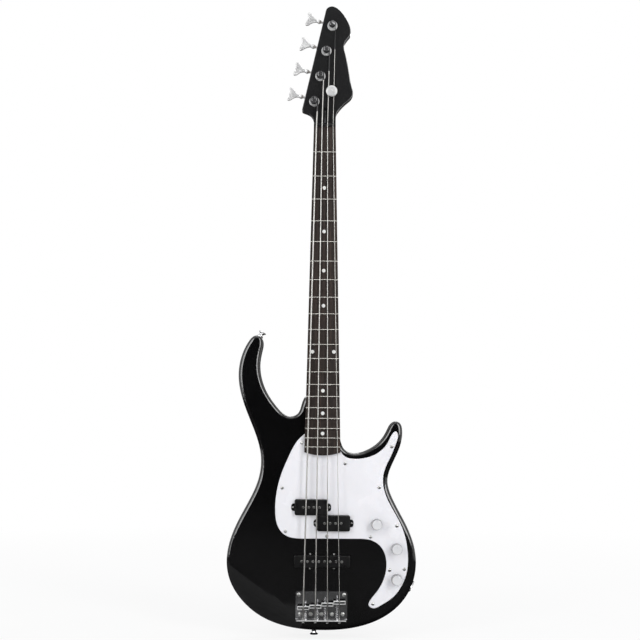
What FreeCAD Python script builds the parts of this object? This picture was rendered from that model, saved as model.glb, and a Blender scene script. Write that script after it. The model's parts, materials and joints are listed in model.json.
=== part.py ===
import FreeCAD, Part
import math
import os

# Electric bass guitar with four strings, a bolted neck and two pickups, in millimetres.
# The origin is at the nut on the neck's centre line, on the plane where the fingerboard meets the neck.
# +Z runs up the neck to the head, +X to the treble side, and the front faces -Y.

os.makedirs("parts", exist_ok=True)
Vector = FreeCAD.Vector
FRONT = Vector(0, -1, 0)
BACK = Vector(0, 1, 0)
UP = Vector(0, 0, 1)
RIGHT = Vector(1, 0, 0)

# Strings
scale_length = 863.6
string_names = ("e", "a", "d", "g")
string_diameters = (2.67, 2.16, 1.65, 1.14)
winding_turns = (1.85, 2.3, 2.8, 3.4)
saddle_setbacks = (10.9, 8.4, 4.6, 1.3)
nut_string_spacing = 10.25
bridge_string_spacing = 21.4
string_height_at_nut = 7.5
string_height_at_saddle = 12.4
winding_gap = 1.2
post_string_clearance = 0.2
ball_radius = 2.7
ball_length = 5.0

# Neck and fingerboard
fret_count = 20
nut_width = 40.6
board_end_width = 65.0
board_thickness = 6.0
board_radius = 305.0
board_past_last_fret = 9.0
board_end_bulge = 5.5
fret_width = 2.4
fret_height = 1.0
fret_tang_depth = 1.6
fret_tang_width = 0.56
dot_radius = 3.3
dot_depth = 1.6
dot_frets = (3, 5, 7, 9, 15, 17, 19)
double_dot_fret = 12
double_dot_offset = 19.5
nut_thickness = 5.0
nut_height = 8.7
nut_slot_clearance = 0.17
neck_depth_at_nut = 15.0
neck_depth_at_heel = 19.0
heel_length = 105.0
heel_blend = 46.0
neck_fullness = 2.3
truss_rod_radius = 2.5
truss_rod_depth = 6.5
truss_nut_radius = 3.5
truss_nut_length = 12.0
truss_key_across_flats = 4.0
truss_slot_length = 30.0

# Head
head_drop = 2.5
head_thickness = 14.5
head_ramp_end = 13.0
head_scoop_radius = 40.0
head_edge_round = 1.2
post_line_start = (-19.9, 50.2)
post_spacing = 50.0
head_edge_angle = 12.72
post_radius = 4.8
post_height = 14.0
post_slot_width = 3.9
bushing_flange_radius = 9.5
bushing_flange_thickness = 1.5
bushing_sleeve_radius = 6.5
bushing_sleeve_length = 9.0
running_clearance = 0.05
seat_clearance = 0.02

# Tuning gears
gear_teeth = 20
gear_module = 0.66
gear_thickness = 4.0
worm_pitch_radius = 3.0
worm_core_radius = 2.1
worm_tip_radius = 3.7
worm_turns = 4
worm_half_length = 7.0
gear_tip_clearance = 0.45
tooth_share = 0.33
tuner_plate_thickness = 1.2
tuner_plate_length = 44.0
tuner_plate_width = 27.0
ear_thickness = 2.4
key_shaft_radius = 2.3
key_reach = 30.5
key_half_width = 13.3
key_length = 22.0
key_lobe_radius = 3.0
key_neck_half_width = 2.8
key_thickness = 4.0
tuner_screw_radius = 1.3

# String tree
tree_place = (12.4, 69.2)
tree_radius = 10.5
tree_thickness = 2.2
tree_post_radius = 2.9
tree_string_depth = 4.2

# Body
body_front = 3.0
body_thickness = 42.0
body_round = 6.5
arm_contour_width = 46.0
arm_contour_radius = 92.0
belly_scoop_radius = 150.0
belly_scoop_depth = 15.0
belly_scoop_place = (-118.0, 245.0)
pocket_clearance = 0.2
neck_plate_size = (46.0, 60.0, 2.0)
neck_plate_place = (-3.0, 292.0)
neck_screw_inset = 7.5
neck_screw_radius = 2.2
neck_screw_length = 52.0
bolt_clearance = 0.2

# Pickguard and controls
guard_thickness = 2.4
guard_bevel = 0.9
board_gap = 0.4
guard_screw_radius = 1.4
guard_screw_head_radius = 3.0
guard_screw_length = 11.0
knob_places = ((98.4, 135.0), (134.2, 92.0), (134.2, 38.0))
knob_radius = 9.8
knob_height = 15.5
knob_lift = 0.6
knob_wall = 2.6
pot_radius = 8.2
pot_depth = 9.0
pot_bushing_radius = 3.9
pot_bushing_height = 5.0
pot_nut_radius = 5.6
pot_nut_thickness = 2.0
pot_shaft_radius = 3.0
control_cavity_radius = 13.5
control_cavity_depth = 32.0
cavity_channel_width = 18.0
lead_radius = 0.8
lead_bend = 2.5
lead_hole_radius = 2.2
lead_channel_width = 10.0
lead_channel_depth = 12.0
capacitor_radius = 3.2
capacitor_length = 12.0

# Pickups
split_pickup_size = (58.6, 27.8)
split_pickup_place = (20.8, 136.6)
split_half_shift = 40.4
split_half_gap = 0.2
split_pickup_top = 9.6
split_ear_reach = 6.0
split_ear_half_height = 6.3
bar_pickup_size = (100.0, 20.6)
bar_pickup_place = (0.8, 69.2)
bar_pickup_top = 8.6
bar_ear_offset = 21.4
bar_ear_reach = 4.6
bar_ear_width = 9.0
bar_ear_corner = 3.4
pickup_below_face = 16.0
pickup_corner = 3.0
pickup_clearance = 0.6
pole_radius = 2.4
pole_proud = 0.7
pole_half_gap = 5.1
pickup_wall = 1.6
pickup_ear_thickness = 3.0
pickup_ear_lift = 0.4
pickup_edge_round = 1.2
coil_gap = 0.2
pole_chamfer = 0.35
pickup_screw_radius = 1.3
pickup_screw_head_radius = 1.85
pickup_screw_length = 22.0
pickup_cavity_depth = 20.0
coil_recess = 1.0

# Bridge
bridge_width = 92.0
bridge_length = 50.5
bridge_front_edge = 16.6
bridge_plate_thickness = 2.0
bridge_wall_height = 15.5
bridge_wall_thickness = 2.0
bridge_rear_screws = (-38.0, -19.0, 0.0, 19.0, 38.0)
bridge_rear_screw_row = -23.2
bridge_front_screw = (40.5, 10.6)
bridge_screw_radius = 1.8
bridge_screw_length = 24.0
saddle_width = 20.8
saddle_length = 7.0
saddle_height = 8.6
saddle_top_above_string_seat = 0.6
saddle_trough_width = 3.4
saddle_trough_depth = 0.7
height_screw_offset = 8.0
height_screw_radius = 1.5
height_screw_recess = 1.8
intonation_offset = 3.9
intonation_height = 10.0
intonation_screw_radius = 1.45
intonation_past_saddle = 6.5
intonation_head_radius = 3.0
string_hole_height = 5.5
spring_coil_radius = 2.0
spring_wire_radius = 0.3
spring_curls = 8

# Jack and strap buttons
jack_direction = (0.8, -0.6)
jack_flat_distance = 28.6
jack_plate_radius = 15.0
jack_plate_thickness = 2.0
jack_bore_radius = 3.25
jack_barrel_radius = 4.8
jack_body_radius = 7.0
jack_body_length = 18.0
jack_nut_radius = 7.0
jack_nut_thickness = 2.4
jack_hole_radius = 10.5
jack_screw_radius = 1.3
horn_button_place = (-117.0, 473.6)
horn_button_direction = (0.51, 0.86)
end_button_place = (-13.0, -52.2)
end_button_direction = (0.0, -1.0)
button_cap_radius = 7.2
button_waist_radius = 3.8
button_height = 10.5
button_screw_radius = 2.2
button_screw_length = 26.0

# Body outline, each point across from the centre line and up from the saddle line
body_outline = (
    (-31.0, 364.5), (-38.5, 349.5), (-45.5, 332.5), (-58.5, 327.3), (-73.4, 333.5), (-88.2, 349.0),
    (-103.0, 371.0), (-113.3, 397.5), (-116.0, 426.5), (-112.2, 449.0), (-110.6, 462.5),
    (-115.0, 472.5), (-124.5, 474.6), (-136.5, 464.0), (-149.0, 437.5), (-154.2, 400.5), (-148.0, 363.5),
    (-134.5, 326.5), (-117.6, 283.3), (-111.2, 248.5), (-116.5, 211.0), (-136.0, 168.0),
    (-158.0, 124.5), (-170.5, 76.5), (-166.0, 36.5),
    (-144.0, -1.5), (-110.0, -29.5), (-60.0, -47.0), (0.0, -52.4), (62.0, -47.0), (113.0, -28.0),
    (148.0, 2.5), (167.0, 44.5), (167.5, 88.5), (150.0, 137.0), (127.0, 180.5), (118.0, 213.5),
    (126.0, 241.5), (141.5, 277.5), (144.6, 305.0), (141.6, 315.0), (133.8, 319.9),
    (125.4, 315.9), (117.6, 303.0), (107.0, 286.0), (80.0, 266.5), (55.0, 261.5), (40.0, 268.0),
    (33.0, 283.0), (29.0, 303.0), (26.5, 330.0), (22.0, 362.0), (0.0, 379.5),
)
heel_line = 360.6
board_end_line = 263.0
waist_start = 120.0
waist_end = 255.0
treble_wall_end = 276.0
arm_contour_line = ((-165.0, 79.6), (-45.5, -25.4))

# Pickguard outline, measured the same way
guard_outline = (
    (-32.9, 295.6), (-44.9, 284.0), (-61.1, 255.0), (-74.0, 223.5), (-82.5, 188.5), (-84.4, 158.5),
    (-78.0, 128.0), (-66.0, 115.0), (-48.0, 109.6), (-20.0, 109.1), (25.0, 109.2), (65.0, 109.3),
    (88.0, 107.0), (104.0, 97.5), (114.0, 79.5), (115.8, 60.5), (110.0, 35.5),
    (97.9, 15.0), (86.8, 1.0), (84.5, -7.5),
    (90.0, -12.0), (105.0, -8.0), (127.0, 6.5), (144.4, 29.5), (153.5, 57.5), (153.9, 86.0), (148.0, 118.5),
    (134.5, 149.0), (118.0, 179.0), (109.6, 208.5), (113.0, 233.5), (125.5, 260.5), (134.5, 284.0),
    (136.3, 296.0), (132.5, 301.5), (126.5, 297.0), (118.0, 281.0), (103.0, 264.5), (80.0, 254.0),
    (58.0, 251.5), (42.0, 255.0), (33.2, 265.0),
)
guard_screw_places = (
    (-37.5, 279.8), (-72.2, 199.1), (-65.5, 121.9), (8.9, 113.8), (87.1, 112.9), (41.0, 243.4),
    (125.3, 274.1), (102.9, 201.1), (134.6, 132.9), (121.6, 54.7), (148.0, 56.6), (91.7, -4.4),
)

# Head outline, each point across from the centre line and up from the nut
head_throat_left = (
    (-20.3, 0.0), (-20.5, 10.0), (-23.4, 18.5), (-30.0, 25.3), (-37.0, 28.8), (-41.5, 31.6), (-42.6, 35.5),
)
head_top_and_right = (
    (0.2, 225.0), (4.5, 232.4), (12.5, 235.0), (22.0, 231.3), (33.0, 220.0), (42.5, 204.5), (47.5, 189.0),
    (46.5, 178.5), (41.0, 171.0), (36.0, 161.5), (35.2, 154.0), (37.5, 143.0), (44.0, 111.0), (50.0, 79.0),
    (52.3, 66.5), (49.0, 57.5), (40.0, 49.0), (30.0, 39.0), (22.5, 28.0), (19.9, 18.0),
    (20.3, 8.0), (20.3, 0.0),
)

# Levels and places that follow from the driving dimensions
saddle_line = -scale_length
body_back = body_front + body_thickness
body_middle = body_front + body_thickness / 2
guard_front = body_front - guard_thickness
head_back = head_drop + head_thickness
post_top = head_drop - post_height
bushing_top = head_drop - bushing_flange_thickness
last_fret = scale_length * (1 - 2 ** (-fret_count / 12))
board_length = last_fret + board_past_last_fret
waist_stretch = scale_length - board_length - board_end_line
plate_front = body_front - bridge_plate_thickness
wall_back = saddle_line + bridge_front_edge - bridge_length
pickup_back = body_front + pickup_below_face
pickup_ear_front = body_front - pickup_ear_thickness - pickup_ear_lift
wall_inner = wall_back + bridge_wall_thickness
wall_top = body_front - bridge_wall_height
intonation_level = body_front - intonation_height
edge_up = Vector(math.sin(math.radians(head_edge_angle)), 0, math.cos(math.radians(head_edge_angle)))
key_out = Vector(-math.cos(math.radians(head_edge_angle)), 0, math.sin(math.radians(head_edge_angle)))
gear_radius = gear_module * gear_teeth / 2
gear_middle = head_back + tuner_plate_thickness + worm_tip_radius + 0.6
gear_centre_distance = gear_radius + worm_pitch_radius


def plan(point, level=0.0):
    """A point of the body, given across and up from the saddles. Its upper part follows the board's end."""
    share = min(max((point[1] - waist_start) / (waist_end - waist_start), 0), 1)
    return Vector(point[0], level, saddle_line + point[1] + share * waist_stretch)


def board_half_width(distance):
    """Half the fingerboard's width at a distance from the nut."""
    return nut_width / 2 + (board_end_width - nut_width) / 2 * distance / board_length


def spline(points, closed=False):
    curve = Part.BSplineCurve()
    curve.interpolate(list(points), PeriodicFlag=closed)
    return curve.toShape()


def line(start, end):
    return Part.LineSegment(start, end).toShape()


def slab(edges, front, back):
    """A plate with the given outline, drawn at level 0, between two levels."""
    face = Part.Face(Part.Wire(edges))
    face.translate(Vector(0, front, 0))
    return face.extrude(Vector(0, back - front, 0))


def polygon_slab(points, front, back):
    corners = list(points) + [points[0]]
    face = Part.Face(Part.makePolygon(corners))
    face.translate(Vector(0, front, 0))
    return face.extrude(Vector(0, back - front, 0))


def rounded_slab(centre, width, height, corner, front, back):
    """A plate with round corners about a centre, width along X and height along Z."""
    corner_at = Vector(centre.x - width / 2, front, centre.z - height / 2)
    block = Part.makeBox(width, back - front, height, corner_at)
    upright = [edge for edge in block.Edges if abs(edge.tangentAt(edge.FirstParameter).y) > 0.9]
    return block.makeFillet(corner, upright)


def rod(radius, start, end):
    return Part.makeCylinder(radius, (end - start).Length, start, end - start)


def deep_rod(radius, centre, front, back):
    """A round bar along Y between two levels."""
    return Part.makeCylinder(radius, back - front, Vector(centre.x, front, centre.z), BACK)


def lathe(profile):
    """A solid turned about Z from points of radius and height, which start and end on the axis."""
    corners = [Vector(radius, 0, height) for radius, height in profile]
    face = Part.Face(Part.makePolygon(corners + [corners[0]]))
    return face.revolve(Vector(0, 0, 0), UP, 360)


def place(shape, point, direction):
    """A copy of a shape modelled along +Z, with its origin at a point and +Z along a direction."""
    copy = shape.copy()
    copy.Placement = FreeCAD.Placement(point, FreeCAD.Rotation(UP, direction))
    return copy


def screw(head_radius, head_height, shank_radius, length):
    """A cross-head screw along +Z whose head stands on height 0 and shank goes down."""
    rim = head_height * 0.35
    crown = Part.Arc(Vector(head_radius, 0, rim), Vector(head_radius * 0.62, 0, head_height * 0.84),
                     Vector(0, 0, head_height)).toShape()
    tip = shank_radius * 0.9
    outline = [Vector(0, 0, head_height), Vector(0, 0, -length), Vector(shank_radius, 0, tip - length),
               Vector(shank_radius, 0, 0), Vector(head_radius, 0, 0), Vector(head_radius, 0, rim)]
    edges = [line(start, end) for start, end in zip(outline, outline[1:])]
    solid = Part.Face(Part.Wire(edges + [crown])).revolve(Vector(0, 0, 0), UP, 360)
    reach = head_radius * 0.6
    width = head_radius * 0.26
    depth = head_height * 0.6
    for turn in (0, 90):
        slot = Part.makeBox(2 * reach, width, head_height, Vector(-reach, -width / 2, head_height - depth))
        slot.rotate(Vector(0, 0, 0), UP, turn)
        solid = solid.cut(slot)
    return solid


def arc(start, corner, end):
    """The arc that leaves start towards a corner and reaches end coming from it."""
    into = (corner - start).normalize()
    out = (end - corner).normalize()
    turn = into.getAngle(out)
    if turn < 1e-5:
        return line(start, end)
    weight = math.cos(turn / 2)
    middle = (start + corner * (2 * weight) + end) * (1 / (2 + 2 * weight))
    return Part.Arc(start, middle, end).toShape()


def biarc(start, heading, end, final_heading):
    """Two tangent arcs from one point and heading to another."""
    chord = end - start
    both = heading + final_heading
    square = both.dot(both) - 4
    along = chord.dot(both)
    if abs(square) < 1e-9:
        reach = chord.dot(chord) / (2 * along)
    else:
        reach = (along - math.sqrt(along * along - square * chord.dot(chord))) / square
    first = start + heading * reach
    second = end - final_heading * reach
    middle = (first + second) * 0.5
    return [arc(start, first, middle), arc(middle, second, end)]


def rounded_run(points, radii):
    """Straight runs through points, with an arc of the given radius at each inner corner."""
    edges = []
    here = points[0]
    for before, corner, after, radius in zip(points, points[1:], points[2:], radii):
        into = (corner - before).normalize()
        out = (after - corner).normalize()
        cut_back = radius * math.tan(into.getAngle(out) / 2)
        first = corner - into * cut_back
        last = corner + out * cut_back
        edges.append(line(here, first))
        edges.append(arc(first, corner, last))
        here = last
    edges.append(line(here, points[-1]))
    return edges


def tube(edges, radius):
    """One unbroken round tube along tangent edges."""
    first = edges[0]
    start = first.valueAt(first.FirstParameter)
    ring = Part.Wire([Part.makeCircle(radius, start, first.tangentAt(first.FirstParameter))])
    sweep = Part.BRepOffsetAPI.MakePipeShell(Part.Wire(edges))
    sweep.add(ring)
    sweep.build()
    sweep.makeSolid()
    solid = sweep.shape()
    length = sum(edge.Length for edge in edges)
    share = solid.Volume / (math.pi * radius * radius * length)
    return solid, length, share


def least_gap(edges, diameter, turn_length):
    """The least gap between stretches of a wound tube that lie more than half a turn apart along it."""
    step = 0.4
    points = []
    for edge in edges:
        count = max(2, int(edge.Length / step))
        points.extend(edge.discretize(count)[:-1])
    skip = int(turn_length / 2 / step)
    least = 1e9
    for index, point in enumerate(points):
        for other in points[index + skip:]:
            least = min(least, point.distanceToPoint(other))
    return least - diameter


written = []


def write(name, *solids):
    """Save one named piece or group of like pieces."""
    shape = solids[0] if len(solids) == 1 else Part.makeCompound(list(solids))
    shape.exportStep("parts/" + name + ".step")
    written.append(name)
    if not shape.isValid():
        print("not valid:", name)


# Strings: places shared by the nut, the bridge and the posts
def nut_string_x(index):
    return (index - 1.5) * nut_string_spacing


def bridge_string_x(index):
    return (index - 1.5) * bridge_string_spacing


def saddle_point(index):
    """Where a string's centre line turns over its saddle."""
    radius = string_diameters[index] / 2
    level = -string_height_at_saddle - radius
    return Vector(bridge_string_x(index), level, saddle_line - saddle_setbacks[index])


def nut_point(index):
    radius = string_diameters[index] / 2
    return Vector(nut_string_x(index), -string_height_at_nut - radius, 0)


def post_centre(index):
    start = Vector(post_line_start[0], 0, post_line_start[1])
    return start + edge_up * (post_spacing * index)


def winding(index):
    """The radius, pitch, slot level and level of the lowest turn of a string's winding on its post."""
    diameter = string_diameters[index]
    radius = post_radius + diameter / 2 + post_string_clearance
    pitch = diameter + winding_gap
    slot_level = post_top + 0.6 + diameter / 2
    low_level = slot_level + pitch * winding_turns[index]
    return radius, pitch, slot_level, low_level


def tangent_to_post(start, index):
    """The point and angle at which a string from start meets its winding on the treble side."""
    radius = winding(index)[0]
    centre = post_centre(index)
    gap_x = centre.x - start.x
    gap_z = centre.z - start.z
    distance = math.hypot(gap_x, gap_z)
    heading = math.atan2(gap_z, gap_x) - math.asin(radius / distance)
    run = math.sqrt(distance * distance - radius * radius)
    level = winding(index)[3]
    point = Vector(start.x + run * math.cos(heading), level, start.z + run * math.sin(heading))
    return point, heading - math.pi / 2


def slot_angle(index):
    return tangent_to_post(nut_point(index), index)[1] + 2 * math.pi * winding_turns[index]


def tree_string_level(index):
    return head_drop - tree_string_depth + string_diameters[index] / 2 + seat_clearance


def tree_crossing(start, end):
    """The heights just before and after a string passes under the tree's disc."""
    share = (tree_place[1] - start.z) / (end.z - start.z)
    offset = start.x + (end.x - start.x) * share - tree_place[0]
    half = math.sqrt(tree_radius ** 2 - offset ** 2) + 1.0
    return tree_place[1] - half, tree_place[1] + half


def string_route(index):
    """A string from its ball over the saddle and nut, under the tree, round its post and into the slot."""
    over_saddle = saddle_point(index)
    over_nut = nut_point(index)
    hole_level = body_front - string_hole_height
    ball_face = Vector(over_saddle.x, hole_level, wall_back - 0.1)
    behind = Vector(over_saddle.x, hole_level, wall_inner + 4.5)
    meet, angle = tangent_to_post(over_nut, index)
    route = [ball_face, behind, over_saddle, over_nut]
    radii = [5.0, 6.0, 12.0]
    if index >= 2:
        for height in tree_crossing(over_nut, meet):
            share = (height - over_nut.z) / (meet.z - over_nut.z)
            under_tree = over_nut + (meet - over_nut) * share
            under_tree.y = tree_string_level(index)
            route.append(under_tree)
            radii.append(8.0)
    approach = (meet - route[-1]).normalize()
    last = meet - approach * 4.0
    edges = rounded_run(route + [last], radii)
    return edges, wound_end(index, last, approach, meet.y, angle)


def wound_end(index, last, approach, level, angle):
    radius, pitch, slot_level, low_level = winding(index)
    centre = post_centre(index)
    bend = 1.05 * string_diameters[index]

    def on_turn(turned):
        at = angle + turned
        point = Vector(centre.x + radius * math.cos(at), level - pitch * turned / (2 * math.pi),
                       centre.z + radius * math.sin(at))
        heading = Vector(-radius * math.sin(at), -pitch / (2 * math.pi), radius * math.cos(at)).normalize()
        return point, heading

    total = 2 * math.pi * winding_turns[index]
    begin = math.radians(35)
    finish = total - math.radians(78)
    count = math.ceil((finish - begin) / (math.pi / 2))
    stations = [on_turn(begin + (finish - begin) * step / count) for step in range(count + 1)]
    edges = biarc(last, approach, *stations[0])
    for (point, heading), (next_point, next_heading) in zip(stations, stations[1:]):
        edges += biarc(point, heading, next_point, next_heading)
    at = angle + total
    outward = Vector(math.cos(at), 0, math.sin(at))
    along = Vector(-math.sin(at), 0, math.cos(at))
    corner = Vector(centre.x, slot_level, centre.z) + outward * radius
    turn_in = corner - along * bend
    turned_in = corner - outward * bend
    edges += biarc(*stations[-1], turn_in, along)
    edges.append(arc(turn_in, corner, turned_in))
    edges.append(line(turned_in, Vector(centre.x, slot_level, centre.z) - outward * 1.5))
    return edges


def make_strings():
    for index, name in enumerate(string_names):
        diameter = string_diameters[index]
        straight, wound = string_route(index)
        solid, length, share = tube(straight + wound, diameter / 2)
        turn = 2 * math.pi * winding(index)[0]
        gap = least_gap(straight[-1:] + wound, diameter, turn)
        print("string", name, "length", round(length, 1), "volume share", round(share, 4))
        print("string", name, "least gap between turns", round(gap, 3))
        ball_front = Vector(saddle_point(index).x, body_front - string_hole_height, wall_back - 0.1)
        ball = rod(ball_radius, ball_front, ball_front - UP * ball_length)
        write("string_" + name, solid, ball)


# Fingerboard, frets, dots and nut
def board_crown(level):
    """A long round bar whose front side is the fingerboard's crowned face at a level above the glue plane."""
    start = Vector(0, board_radius - level, 40)
    return Part.makeCylinder(board_radius, board_length + 120, start, Vector(0, 0, -1))


def make_fingerboard():
    half_start = nut_width / 2
    half_end = board_end_width / 2
    left = line(Vector(-half_end, 0, -board_length), Vector(-half_start, 0, 0))
    top = line(Vector(-half_start, 0, 0), Vector(half_start, 0, 0))
    right = line(Vector(half_start, 0, 0), Vector(half_end, 0, -board_length))
    end = Part.Arc(Vector(half_end, 0, -board_length), Vector(0, 0, -board_length - board_end_bulge),
                   Vector(-half_end, 0, -board_length)).toShape()
    board = slab([left, top, right, end], -board_thickness - 1, 0).common(board_crown(board_thickness))
    slots = []
    frets = []
    for number in range(1, fret_count + 1):
        distance = scale_length * (1 - 2 ** (-number / 12))
        half_width = board_half_width(distance)
        slots.append(fret_bar(distance, half_width + 1, fret_tang_width / 2 + seat_clearance,
                              -fret_tang_depth - seat_clearance, 0.5))
        frets.append(make_fret(distance, half_width - 0.3))
    dots = []
    holes = []
    for across, distance in dot_places():
        centre = Vector(across, 0, -distance)
        inlay = deep_rod(dot_radius, centre, -board_thickness - 1, -board_thickness + dot_depth)
        dots.append(inlay.common(board_crown(board_thickness)))
        holes.append(deep_rod(dot_radius + seat_clearance, centre, -board_thickness - 1,
                              -board_thickness + dot_depth))
    board = board.cut(slots + holes)
    write("fretboard", board)
    write("frets", *frets)
    write("inlay_dots", *dots)


def fret_space(number):
    """The middle of the space behind a fret."""
    before = scale_length * (1 - 2 ** (-(number - 1) / 12))
    after = scale_length * (1 - 2 ** (-number / 12))
    return (before + after) / 2


def dot_places():
    places = [(0, fret_space(number)) for number in dot_frets]
    places.append((-double_dot_offset, fret_space(double_dot_fret)))
    places.append((double_dot_offset, fret_space(double_dot_fret)))
    return places


def fret_bar(distance, half_width, half_thickness, low, high):
    """A bar of rectangular section that follows the fingerboard's crown."""
    level = -board_thickness
    lower = -distance - half_thickness
    upper = -distance + half_thickness
    corners = [Vector(0, level - low, lower), Vector(0, level - high, lower), Vector(0, level - high, upper),
               Vector(0, level - low, upper)]
    return swing(Part.Face(Part.makePolygon(corners + [corners[0]])), half_width)


def swing(face, half_width):
    """A section on the centre line, swept both ways round the crown's axis to a half width."""
    reach = math.degrees(half_width / board_radius)
    axis = Vector(0, board_radius - board_thickness, 0)
    face.rotate(axis, UP, -reach)
    return face.revolve(axis, UP, 2 * reach)


def make_fret(distance, half_width):
    level = -board_thickness
    half_crown = fret_width / 2
    half_tang = fret_tang_width / 2
    points = [Vector(0, level, -distance - half_crown), Vector(0, level, -distance - half_tang),
              Vector(0, level + fret_tang_depth, -distance - half_tang),
              Vector(0, level + fret_tang_depth, -distance + half_tang),
              Vector(0, level, -distance + half_tang), Vector(0, level, -distance + half_crown)]
    edges = [line(start, end) for start, end in zip(points, points[1:])]
    crown = Part.Arc(points[-1], Vector(0, level - fret_height, -distance), points[0]).toShape()
    return swing(Part.Face(Part.Wire(edges + [crown])), half_width)


def make_nut():
    block = Part.makeBox(nut_width, nut_height, nut_thickness, Vector(-nut_width / 2, -nut_height, 0))
    top_edges = [edge for edge in block.Edges if edge.BoundBox.YMax < 0.01 - nut_height
                 and edge.BoundBox.XLength > 1]
    block = block.makeFillet(1.2, top_edges)
    slots = []
    for index in range(len(string_names)):
        onward = string_route(index)[0][6]
        direction = onward.tangentAt(onward.FirstParameter)
        start = nut_point(index) - direction * 1.0
        slots.append(string_slot(start, direction, string_diameters[index] / 2 + nut_slot_clearance))
    write("nut", block.cut(slots))


def string_slot(start, direction, radius):
    """A slot round a straight stretch of string, round at the bottom and open to the front."""
    side = RIGHT * radius
    deep = direction.cross(RIGHT).normalize() * radius
    if deep.y < 0:
        deep = deep * -1
    lift = deep * (-6.0 / radius)
    left = start - side
    right = start + side
    edges = [Part.Arc(left, start + deep, right).toShape(), line(right, right + lift),
             line(right + lift, left + lift), line(left + lift, left)]
    return Part.Face(Part.Wire(edges)).extrude(direction * 9.0)


# Neck with its head
def neck_section(distance, half_width, depth, fullness):
    """A rounded section below the glue plane: fullness 2 is an ellipse, and more is squarer."""
    steps = 12
    points = []
    for step in range(steps + 1):
        angle = math.pi * step / steps
        across = math.copysign(abs(math.cos(angle)) ** (2 / fullness), math.cos(angle))
        down = math.sin(angle) ** (2 / fullness) if 0 < step < steps else 0
        points.append(Vector(half_width * across, depth * down, -distance))
    return Part.Wire([spline(points), line(points[-1], points[0])])


def make_neck():
    shaft_end = board_length - heel_length - heel_blend
    depth_slope = (neck_depth_at_heel - 2 - neck_depth_at_nut) / shaft_end
    at_nut = neck_section(0, nut_width / 2, neck_depth_at_nut, neck_fullness)
    above_nut = neck_section(-36, nut_width / 2, neck_depth_at_nut, neck_fullness)
    shaft = Part.makeLoft([above_nut, at_nut], True, True)
    shaft_depth = neck_depth_at_nut + depth_slope * shaft_end
    at_blend = neck_section(shaft_end, board_half_width(shaft_end), shaft_depth, neck_fullness)
    taper = Part.makeLoft([at_nut, at_blend], True, True)
    blend_sections = []
    blend_steps = ((0, neck_fullness, 0), (0.35, 2.6, 0.12), (0.7, 3.8, 0.62), (1, 7, 1))
    for share, fullness, depth_share in blend_steps:
        distance = shaft_end + heel_blend * share
        depth = neck_depth_at_heel - 2 * (1 - depth_share)
        blend_sections.append(neck_section(distance, board_half_width(distance), depth, fullness))
    blend = Part.makeLoft(blend_sections, True, False)
    heel_start = board_length - heel_length
    half_start = board_half_width(heel_start)
    half_end = board_half_width(board_length)
    heel_points = [Vector(-half_start, 0, -heel_start), Vector(half_start, 0, -heel_start),
                   Vector(half_end, 0, -board_length), Vector(-half_end, 0, -board_length)]
    heel = polygon_slab(heel_points, 0, neck_depth_at_heel)
    neck = make_head().fuse([shaft, taper, blend, heel]).removeSplitter()
    rod_level = truss_rod_depth
    channel_half = truss_rod_radius + 0.1
    rod_end = board_length - 30
    channel = Part.makeBox(2 * channel_half, rod_level + channel_half, rod_end + 2 - nut_thickness,
                           Vector(-channel_half, 0, -rod_end - 2))
    bore = rod(truss_nut_radius + 0.4, Vector(0, rod_level, -12), Vector(0, rod_level, truss_slot_length + 6))
    mouth = rounded_slab(Vector(0, 0, nut_thickness + 4 + truss_slot_length / 2), 2 * truss_nut_radius + 1.2,
                         truss_slot_length, truss_nut_radius, -2, rod_level)
    tools = [channel, bore, mouth]
    for index in range(len(string_names)):
        tools.append(deep_rod(bushing_sleeve_radius + seat_clearance, post_centre(index), -5, head_back + 5))
        tools += [deep_rod(tuner_screw_radius + running_clearance, point, head_back - 9, head_back + 1)
                  for point in tuner_screw_points(index)]
    tree = Vector(tree_place[0], 0, tree_place[1])
    tools.append(deep_rod(1.5 + running_clearance, tree, -5, head_drop + 11))
    screw_end = body_back - neck_screw_length - 1
    tools += [deep_rod(neck_screw_radius + running_clearance, point, screw_end, body_back)
              for point in neck_screw_points()]
    write("neck", neck.cut(tools))
    write("truss_rod", rod(truss_rod_radius, Vector(0, rod_level, -rod_end), Vector(0, rod_level, 5)))
    nut_low = 5 + seat_clearance
    truss_nut = rod(truss_nut_radius, Vector(0, rod_level, nut_low),
                    Vector(0, rod_level, nut_low + truss_nut_length))
    key_radius = truss_key_across_flats / math.sqrt(3)
    socket = prism_along_z(6, key_radius, Vector(0, rod_level, nut_low + truss_nut_length - 6), 7)
    write("truss_rod_nut", truss_nut.cut(socket))


def prism_along_z(sides, radius, base, height):
    points = [base + Vector(radius * math.cos(2 * math.pi * step / sides),
                            radius * math.sin(2 * math.pi * step / sides), 0) for step in range(sides)]
    face = Part.Face(Part.makePolygon(points + [points[0]]))
    return face.extrude(UP * height)


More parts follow.
